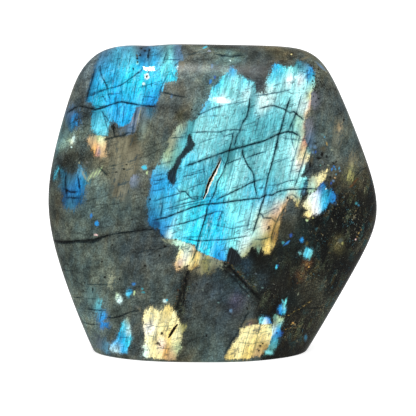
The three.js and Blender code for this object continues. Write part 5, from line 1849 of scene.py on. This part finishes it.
class Graph:
    """Builds a material's node tree."""

    def __init__(self, name: str) -> None:
        """Makes an empty material.

        Args:
            name: The material's name.
        """
        self.material = bpy.data.materials.new(name)
        self.material.use_nodes = True
        self.tree = self.material.node_tree
        self.tree.nodes.clear()

    def add(self, setup: Node, *values: Any, **more: Any) -> Any:
        """Adds a node in one of the set-ups and links it.

        Args:
            setup: The set-up.
            values: What goes into the set-up's inputs in order: sockets are linked, hex
                colours are turned to linear, and other values are set as they are.
            more: Properties of the node besides the set-up's own.

        Returns:
            The set-up's output socket, or all of them.
        """
        kind, inputs, output, settings = setup.value
        node = self.tree.nodes.new("ShaderNode" + kind)
        for name, value in (settings | more).items():
            setattr(node, name, value)
        for key, value in zip(inputs, values):
            if isinstance(value, bpy.types.NodeSocket):
                self.tree.links.new(value, node.inputs[key])
            else:
                plain = linear(value) if isinstance(value, str) else value
                node.inputs[key].default_value = plain
        return node.outputs[output]

    def share(self, *parts: Any) -> Any:
        """The product of some shares, kept between 0 and 1.

        Args:
            parts: Values, or (value, low, high) for one that rises smoothly from 0 at
                its low to 1 at its high end, or from a fourth number to a fifth.

        Returns:
            The product.
        """
        shares = [self.add(Node.RISE, *p) if isinstance(p, tuple) else p for p in parts]
        product = shares[0]
        for share in shares[1:]:
            product = self.add(Node.BOTH, product, share)
        return product

    def laid(self, under: Any, layer: Any, *parts: Any) -> Any:
        """A colour laid over another by the product of some shares."""
        return self.add(Node.OVER, under, layer, self.share(*parts))

    def shaded(self, colour: Any, *steps: tuple) -> Any:
        """A colour made darker and lighter by some values.

        Args:
            colour: The colour.
            steps: For each a value, its low and high ends, and the gains at these ends.

        Returns:
            The colour after all steps.
        """
        for step in steps:
            colour = self.add(Node.SCALE, colour, self.add(Node.RISE, *step))
        return colour

    def parts(self, name: str) -> list:
        """The three parts of a vector attribute."""
        return self.add(Node.PARTS, self.add(Node.VECTOR, attribute_name=name))


@dataclass(frozen=True)
class Grain:
    """A noise of the mineral whose grains have a real size and lean to the right.

    `size` is across, through and along the lean, in millimetres, `seed` an offset that
    makes each differ, `detail` its octaves, `rough` their strength, and `lean` in
    degrees from upright. With a `thread`, thin lines run where the noise crosses a half,
    that share of its range wide on each side.
    """

    size: tuple[float, float, float]
    seed: float
    detail: float = 2.0
    rough: float = 0.5
    lean: float = LEAN
    thread: float = 0.0


GRAINS = {
    "comb": Grain((0.85, 5, 3.4), 11, 3),
    "crumb": Grain((0.7, 0.7, 0.7), 23, 3, 0.6),
    "hair": Grain((0.26, 3, 5), 37, 3, 0.6),
    "band": Grain((1.5, 6, 22), 41),
    "cross": Grain((0.26, 3, 4), 53, 3, 0.6, lean=73),
    "mottle": Grain((4.2, 4.2, 5), 61, 3, 0.55),
    "cloud": Grain((11, 11, 15), 67, 3, 0.6),
    "grain": Grain((0.6, 0.6, 0.75), 71, 2.5, 0.6),
    "wobble": Grain((0.9, 0.9, 0.9), 83, 3, 0.6),
    "broken": Grain((2.2, 2.2, 2.2), 97),
    "tone": Grain((2.4, 5, 7), 149),
    "speckle": Grain((0.42, 0.42, 0.42), 163, 2, 0.7),
    "glints": Grain((0.6, 0.6, 0.6), 167, 3, 0.7),
    "clusters": Grain((6, 6, 6), 173),
    "steep": Grain((1.7, 6, 26), 131, thread=0.034),
    "rising": Grain((2.6, 6, 24), 137, lean=72, thread=0.03),
    "fine": Grain((0.85, 6, 20), 191, thread=0.05),
    "ridge": Grain((1.3, 6, 15), 197, thread=0.045),
    "curved": Grain((6, 6, 7), 179, 3, thread=0.012),
}


class StoneGraph(Graph):
    """Node tree of the polished stone: its noises, then its colours from below upwards."""

    def __init__(self, name: str) -> None:
        """Makes the tree with all noises.

        Args:
            name: The material's name.
        """
        super().__init__(name)
        place = self.add(Node.PLACE)
        made = {key: self.grain(place, grain) for key, grain in GRAINS.items()}
        self.noise = SimpleNamespace(**made)

    def grain(self, place: Any, grain: Grain) -> Any:
        """Adds one noise of the mineral.

        Args:
            place: Object coordinates, in metres.
            grain: Its sizes.

        Returns:
            The noise, around a half, or its threads, from 0 to 1.
        """
        offset = (grain.seed * MM, grain.seed * 0.7 * MM, grain.seed * 1.3 * MM)
        turn = (0.0, np.radians(grain.lean), 0.0)
        size = tuple(s * MM for s in grain.size)
        mapped = self.add(Node.MAPPED, place, offset, turn, size)
        noise = self.add(Node.NOISE, mapped, 1.0, grain.detail, grain.rough)
        if not grain.thread:
            return noise
        away = self.add(Node.AWAY, self.add(Node.FIT, noise, 1.0, -0.5))
        return self.share((away, grain.thread, 0.0))

    def ground(self) -> Any:
        """The groundmass: mottled warm and cool, with dark grains and pale dust.

        Where it glitters it also has clouds, glints and curved threads of gold, olive
        and teal.

        Returns:
            Its colour.
        """
        add, n = self.add, self.noise
        colour = self.shaded(
            add(Node.COLOUR, attribute_name="ground_colour"),
            (n.cloud, 0.35, 0.65, 0.74, 1.26),
            (n.mottle, 0.32, 0.68, 0.63, 1.42),
            (n.grain, 0.28, 0.72, 0.64, 1.38),
            (n.speckle, 0.3, 0.7, 0.7, 1.34),
        )
        for noise, cool, warm in (
            (n.cloud, (0.9, 1.0, 1.05), (1.04, 1.0, 0.92)),
            (n.tone, (0.93, 1.01, 1.07), (1.03, 1.0, 0.95)),
        ):
            bluish, earthy = add(Node.TINT, colour, cool), add(Node.TINT, colour, warm)
            colour = self.laid(bluish, earthy, (noise, 0.4, 0.6))
        colour = self.shaded(
            colour, (n.rising, 0.0, 1.0, 1.0, 0.6), (n.glints, 0.36, 0.31, 1.0, 0.3)
        )
        dust = (n.glints, 0.64, 0.7)
        colour = self.laid(colour, "#93998c", dust, (n.clusters, 0.62, 0.45), 0.4)

        glitter = add(Node.VALUE, attribute_name="glitter")
        hint = self.laid("#4a4226", "#1d4a4c", (n.mottle, 0.44, 0.56))
        hint = self.laid(hint, "#46503c", (n.cloud, 0.5, 0.6))
        hint = self.shaded(hint, (n.speckle, 0.35, 0.65, 0.15, 1.1))
        colour = self.laid(colour, hint, (n.tone, 0.45, 0.66), glitter, 0.75)
        rough = self.shaded(colour, (n.speckle, 0.38, 0.64, 0.25, 2.6))
        colour = self.laid(colour, rough, glitter)
        spark = self.laid("#94804c", "#bdb898", (n.grain, 0.48, 0.56))
        spark = self.laid("#4c8f9c", spark, (n.mottle, 0.42, 0.5))
        colour = self.laid(colour, spark, n.curved, (n.broken, 0.5, 0.62), glitter, 0.6)
        glint = (n.glints, 0.61, 0.68)
        return self.laid(colour, spark, glint, (n.clusters, 0.4, 0.56), glitter, 0.85)

    def flash(self) -> Any:
        """The flash: body colour with hairlines along the lamellae and faint cross lines.

        Returns:
            Its colour.
        """
        n = self.noise
        _, green, blue = self.parts("flash_colour")
        light, cold = self.share((green, 0.25, 0.65)), self.share((blue, 0.2, 0.5))
        colour = self.shaded(
            self.add(Node.COLOUR, attribute_name="flash_colour"),
            (n.band, 0.3, 0.7, 0.9, 1.26),
            (n.tone, 0.32, 0.62, 0.72, 1.08),
        )
        colour = self.laid(colour, "#d8f6f4", light, (n.tone, 0.5, 0.75, 0.0, 0.2))
        colour = self.shaded(colour, (n.hair, 0.25, 0.55, 0.55, 1.05))
        colour = self.laid(colour, "#ffffff", light, (n.hair, 0.56, 0.8, 0.02, 0.3))
        colour = self.shaded(
            colour, (n.cross, 0.25, 0.5, 0.62, 1.04), (n.grain, 0.25, 0.5, 0.6, 1.04)
        )
        threads = self.add(Node.LARGER, n.steep, n.rising)
        colour = self.laid(colour, "#0a3442", threads, (n.broken, 0.42, 0.6), 0.7)
        colour = self.laid(colour, "#0f5470", n.fine, (n.broken, 0.6, 0.42), cold, 0.45)
        glow = self.share(light, cold)
        return self.laid(colour, "#d4fbff", n.ridge, glow, (n.grain, 0.4, 0.6), 0.24)

    def body(self) -> tuple[Any, Any]:
        """Groundmass, flash and dark inclusions; the lamellae comb their edges in and out.

        Returns:
            The colour, and the share of flash from 0 to 1.
        """
        add, n = self.add, self.noise
        edge, soft, ragged = self.parts("flash_form")
        comb = add(
            Node.PLUS, add(Node.FIT, n.comb, 3.0, -1.5), add(Node.FIT, n.crumb, 1.6, -0.8)
        )
        fine = add(Node.FIT, n.speckle, 2.4, -1.2)
        swing = add(Node.FIT, ragged, 1.7, 0.0)
        edge = add(Node.FIT, add(Node.PLUS, comb, fine), swing, edge)
        flash = self.flash()
        glow, fringe = add(Node.SCALE, flash, 0.6), add(Node.FIT, soft, -2.4, -0.4)
        halo = self.share((edge, fringe, 0.0), (n.crumb, 0.35, 0.6, 0.05, 0.35))
        in_flash = self.share((edge, add(Node.TIMES, soft, -1.0), soft))
        colour = self.laid(self.laid(self.ground(), glow, halo), flash, in_flash)

        inclusion = add(Node.VALUE, attribute_name="inclusion")
        inclusion = add(Node.FIT, fine, 0.5, add(Node.FIT, comb, 0.5, inclusion))
        dark = self.laid("#0a0d0f", "#273239", (n.hair, 0.42, 0.68))
        return self.laid(colour, dark, (inclusion, -0.35, 0.4), 0.97), in_flash

    def spotted(self, colour: Any) -> Any:
        """Specks and pits, made ragged by the small grains.

        Args:
            colour: The colour below them.

        Returns:
            The colour with the spots.
        """
        add = self.add
        # A spot ends one half size away, and both noises together add `ragged` on average.
        ragged, middle = 1.8, 2.75
        speck_colour = add(Node.COLOUR, attribute_name="speck_colour")
        for name, tone in (("speck_place", speck_colour), ("pit_place", "#0b0a08")):
            across, up, soft = self.parts(name)
            squares = (add(Node.POWER, side, 2.0) for side in (across, up))
            distance = add(Node.ROOT, add(Node.PLUS, *squares))
            for noise in (self.noise.crumb, self.noise.speckle):
                distance = add(Node.FIT, noise, ragged, distance)
            near, far = add(Node.MINUS, middle, soft), add(Node.PLUS, middle, soft)
            colour = self.laid(colour, tone, (distance, far, near), 0.95)
        return colour

    def cracked(self, colour: Any) -> Any:
        """Cleavage cracks: dark hairlines that waver and fade in places.

        Args:
            colour: The colour below them.

        Returns:
            The colour with the cracks.
        """
        add, n = self.add, self.noise
        wander = add(Node.FIT, n.wobble, 0.7, -0.35)
        for name in ("crack_next", "crack_near"):
            across, width, strength = self.parts(name)
            away = add(Node.AWAY, add(Node.PLUS, across, wander))
            step = add(Node.FIT, self.share((away, 1.5, 0.2), strength), -0.25, 1.0)
            colour = self.shaded(colour, (across, -0.1, 0.1, 1.0, step))
            reach = add(Node.FIT, width, 2.6, 0.15)
            around = add(Node.FIT, self.share((away, reach, width), strength), -0.32, 1.0)
            colour = add(Node.SCALE, colour, around)
            thin = add(Node.TINT, colour, (0.1, 0.26, 0.36))
            thick = add(Node.TINT, colour, (0.05, 0.11, 0.14))
            colour = self.laid(
                colour,
                self.laid(thin, thick, (strength, 0.4, 0.75)),
                (away, add(Node.FIT, width, 0.8, 0.2), add(Node.FIT, width, 0.4, 0.0)),
                add(Node.FIT, strength, 0.8, 0.4),
                (strength, 0.0, 0.12),
                add(Node.FIT, self.share((n.broken, 0.3, 0.55)), 0.45, 0.6),
            )
        return colour

    def opened(self, colour: Any) -> Any:
        """The open cracks: dark floors, painted shade of the recess, with the big one's lips of
        gold and white.

        Args:
            colour: The colour round them.

        Returns:
            The colour with the open cracks.
        """
        add, n = self.add, self.noise
        across, half, swell = self.parts("groove")
        inside = add(Node.RATIO, add(Node.AWAY, across), half)
        inside = add(Node.FIT, n.wobble, 1.2, add(Node.FIT, inside, 1.0, -0.6))
        reach = self.share((across, -0.1, 0.1, 1.35, 2.0))
        lip = (inside, reach, add(Node.FIT, reach, 1.0, -0.35))
        gold = self.laid("#5e5638", "#d8cba0", (n.crumb, 0.4, 0.6))
        pale = self.laid("#fffdf2", "#cdbb8c", (n.crumb, 0.5, 0.65))
        lips = self.laid(gold, pale, (across, -0.1, 0.1))
        has_lips = add(Node.VALUE, attribute_name="groove_lips")
        colour = self.laid(colour, lips, lip, swell, has_lips)
        # Painted shade: the floor of each open crack is drawn near-black, for the shade in the
        # recess.
        floor = self.laid("#0c0a07", "#46351e", (n.crumb, 0.5, 0.7))
        return self.laid(colour, floor, (inside, 1.0, 0.7), (swell, 0.0, 0.2))


@dataclass(frozen=True)
class LabradoriteFinish:
    """Polished labradorite.

    Real labradorite flashes where light scatters from lamellae under its skin, so the
    flash is drawn in the body colour, with hairlines along the lamellae; the polish is a
    clear coat of feldspar's refractive index, which gives the sharp small highlights and
    the pale line along the rim. The sawn base is duller.
    """

    name: str = "polished_labradorite"
    body_roughness: float = 0.55
    coat: float = 0.3
    rim_coat: float = 0.75
    coat_ior: float = 1.56
    coat_roughness: float = 0.045
    ground_roughness: float = 0.26
    sawn_colour: str = "#3f423c"
    sawn_roughness: float = 0.3
    ripple: float = 0.02 * MM

    def build(self) -> bpy.types.Material:
        """Makes the material.

        Returns:
            The material.
        """
        g = StoneGraph(self.name)
        colour, in_flash = g.body()
        for layer in (g.spotted, g.cracked, g.opened):
            colour = layer(colour)
        sawn = g.add(Node.VALUE, attribute_name="sawn")
        colour = g.laid(colour, self.sawn_colour, sawn, 0.6)
        polish = g.share((in_flash, 0.0, 1.0, self.ground_roughness, self.coat_roughness))
        polish = g.add(Node.FIT, g.share((g.noise.grain, 0.45, 0.7)), 0.03, polish)
        polish = g.add(Node.FIT, sawn, self.sawn_roughness, polish)
        skin = g.add(Node.BUMP, g.noise.mottle, self.ripple, 0.12)
        coat = g.share((g.add(Node.GRAZING, 0.5), 0.6, 0.95, self.coat, self.rim_coat))
        g.add(Node.OUTPUT, g.add(Node.COATED, colour, self.body_roughness, 0.0, coat,
                                 self.coat_ior, polish, skin))
        return g.material


@dataclass(frozen=True)
class TableFinish:
    """Matt white opal sheet of a product table, lit from below as well.

    The light from below washes out the stone's shadow, as it does on a real table.
    """

    name: str = "opal_table"
    dark: str = "#d2d2d2"
    light: str = "#dadada"
    roughness: float = 0.95
    glow: float = 0.7
    teeth_per_metre: float = 900.0

    def build(self) -> bpy.types.Material:
        """Makes the material.

        Returns:
            The material.
        """
        g = Graph(self.name)
        tooth = g.add(Node.NOISE, g.add(Node.PLACE), self.teeth_per_metre, 2.0)
        tone = g.laid(self.dark, self.light, tooth)
        g.add(Node.OUTPUT, g.add(Node.GLOWING, tone, self.roughness, 0.0, "#ffffff", self.glow))
        return g.material


# --- The stone and its studio -----------------------------------------------------------


@dataclass
class Labradorite:
    """The stone: one closed piece that stands for the CAD solid.

    Only the first open crack has lips of gold and white.
    """

    shape: StoneShape
    finish: LabradoriteFinish
    grooves: tuple[Groove, ...] = GROOVES
    wall: float = 0.02
    name: str = "labradorite"

    def build(self) -> bpy.types.Object:
        """Makes the piece and ties it to the frame.

        Returns:
            The piece.
        """
        maker = StoneMesh(self.shape, self.grooves)
        mesh = maker.build(self.name)
        points = np.zeros(len(mesh.vertices) * 3, np.float32)
        mesh.vertices.foreach_get("co", points)
        points = points.reshape(-1, 3).astype(float) / MM
        triangles = np.zeros(len(mesh.loops), np.int32)
        mesh.loops.foreach_get("vertex_index", triangles)
        groove = np.tile(NO_LINE, (len(points), 1))
        lips = np.zeros(len(points))
        front = points[:, 1] < 0
        for number, crack in enumerate(self.grooves):
            gap, half, swell = maker.groove_places(points[:, 0], points[:, 2], crack)
            near = front & (np.abs(gap) < np.abs(groove[:, 0]))
            groove[near] = np.stack([gap, half + self.wall, swell], 1)[near]
            lips[near] = number == 0
        Markings(points, triangles.reshape(-1, 3), groove, lips).write(mesh)
        mesh.materials.append(self.finish.build())
        piece = bpy.data.objects.new(self.name, mesh)
        bpy.context.scene.collection.objects.link(piece)
        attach(piece, "root")
        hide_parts("labradorite_stone")
        log.info("%s: marked and tied to the frame", self.name)
        return piece


@dataclass(frozen=True)
class Lamp:
    """A studio light: kind, place and aim in metres, strength, size, what it lights."""

    name: str
    kind: str
    place: Place
    aim: Place
    energy: float
    size: tuple[float, float]
    highlight_only: bool = False


@dataclass(frozen=True)
class Studio:
    """A pale table under soft, even light, and the camera."""

    sheet: TableFinish
    camera_place: Place = (-0.00184, -0.6914, 0.1673)
    camera_aim: Place = (-0.00184, 0.0, 0.0578)
    lens: float = 152.8
    view_reach: float = 50.0
    floor_reach: float = 8.0
    surround: float = 0.5
    lamps: tuple[Lamp, ...] = (
        Lamp("overhead_sun", "SUN", (0, -0.75, 2.4), (0, 0, 0.05), 2.3, (1.4, 1.4)),
        Lamp("high_window", "AREA", (-0.052, -0.99, 1.86), (-0.024, -0.0135, 0.114), 9.0,
             (0.12, 0.28), True),
        Lamp("front_window", "AREA", (-0.017, -1.80, 1.01), (0.0035, -0.0188, 0.1025), 0.7,
             (0.02, 0.12), True),
        Lamp("small_window", "AREA", (0.0515, -1.667, 1.237), (0.0125, -0.018, 0.1055), 0.08,
             (0.012, 0.05), True),
        Lamp("side_window", "AREA", (0.729, -1.2, 1.563), (0.031, -0.0148, 0.1105), 5.0,
             (0.5, 0.14), True),
    )

    @staticmethod
    def look(thing: bpy.types.Object, place: Place, aim: Place) -> None:
        """Puts a light or the camera at a place.

        Args:
            thing: The light or the camera.
            place: Where it stands, in metres.
            aim: The point it looks at.
        """
        thing.location = place
        heading = Vector(aim) - Vector(place)
        thing.rotation_euler = heading.to_track_quat("-Z", "Y").to_euler()

    def build(self) -> None:
        """Makes the floor, the surround, the lights and the camera."""
        self.build_floor()
        self.build_surround()
        for lamp in self.lamps:
            self.build_lamp(lamp)
        self.build_camera()
        log.info("studio: floor, %d lights and camera", len(self.lamps))

    def build_floor(self) -> None:
        """Makes the table: one square that shows no reflection of its own."""
        r = self.floor_reach
        mesh = bpy.data.meshes.new("studio_floor")
        mesh.from_pydata([(-r, -r, 0), (r, -r, 0), (r, r, 0), (-r, r, 0)], [], [(0, 1, 2, 3)])
        mesh.materials.append(self.sheet.build())
        floor = bpy.data.objects.new("studio_floor", mesh)
        floor.visible_glossy = False
        bpy.context.scene.collection.objects.link(floor)

    def build_surround(self) -> None:
        """Makes the soft white light from all round."""
        world = bpy.data.worlds.new("soft_surround")
        world.use_nodes = True
        backdrop = world.node_tree.nodes["Background"]
        backdrop.inputs["Color"].default_value = linear("#ffffff")
        backdrop.inputs["Strength"].default_value = self.surround
        bpy.context.scene.world = world

    def build_lamp(self, lamp: Lamp) -> None:
        """Makes one light.

        Args:
            lamp: Its settings; one for highlights alone shows only as a reflection.
        """
        light = bpy.data.lights.new(lamp.name, lamp.kind)
        light.energy = lamp.energy
        if lamp.kind == "SUN":
            light.angle = lamp.size[0]
        else:
            light.shape = "RECTANGLE"
            light.size, light.size_y = lamp.size
        thing = bpy.data.objects.new(lamp.name, light)
        thing.visible_glossy = lamp.highlight_only
        thing.visible_diffuse = not lamp.highlight_only
        thing.visible_camera = False
        bpy.context.scene.collection.objects.link(thing)
        self.look(thing, lamp.place, lamp.aim)

    def build_camera(self) -> None:
        """Makes the camera and takes colours as they are."""
        scene = bpy.context.scene
        camera = bpy.data.cameras.new("show_camera")
        camera.lens, camera.clip_end = self.lens, self.view_reach
        thing = bpy.data.objects.new("show_camera", camera)
        scene.collection.objects.link(thing)
        self.look(thing, self.camera_place, self.camera_aim)
        scene.camera = thing
        scene.view_settings.view_transform = "Standard"


def main() -> None:
    logging.basicConfig(level=logging.INFO, format="%(name)s: %(message)s")
    Labradorite(StoneShape(), LabradoriteFinish()).build()
    Studio(TableFinish()).build()


if __name__ == "__main__":
    main()
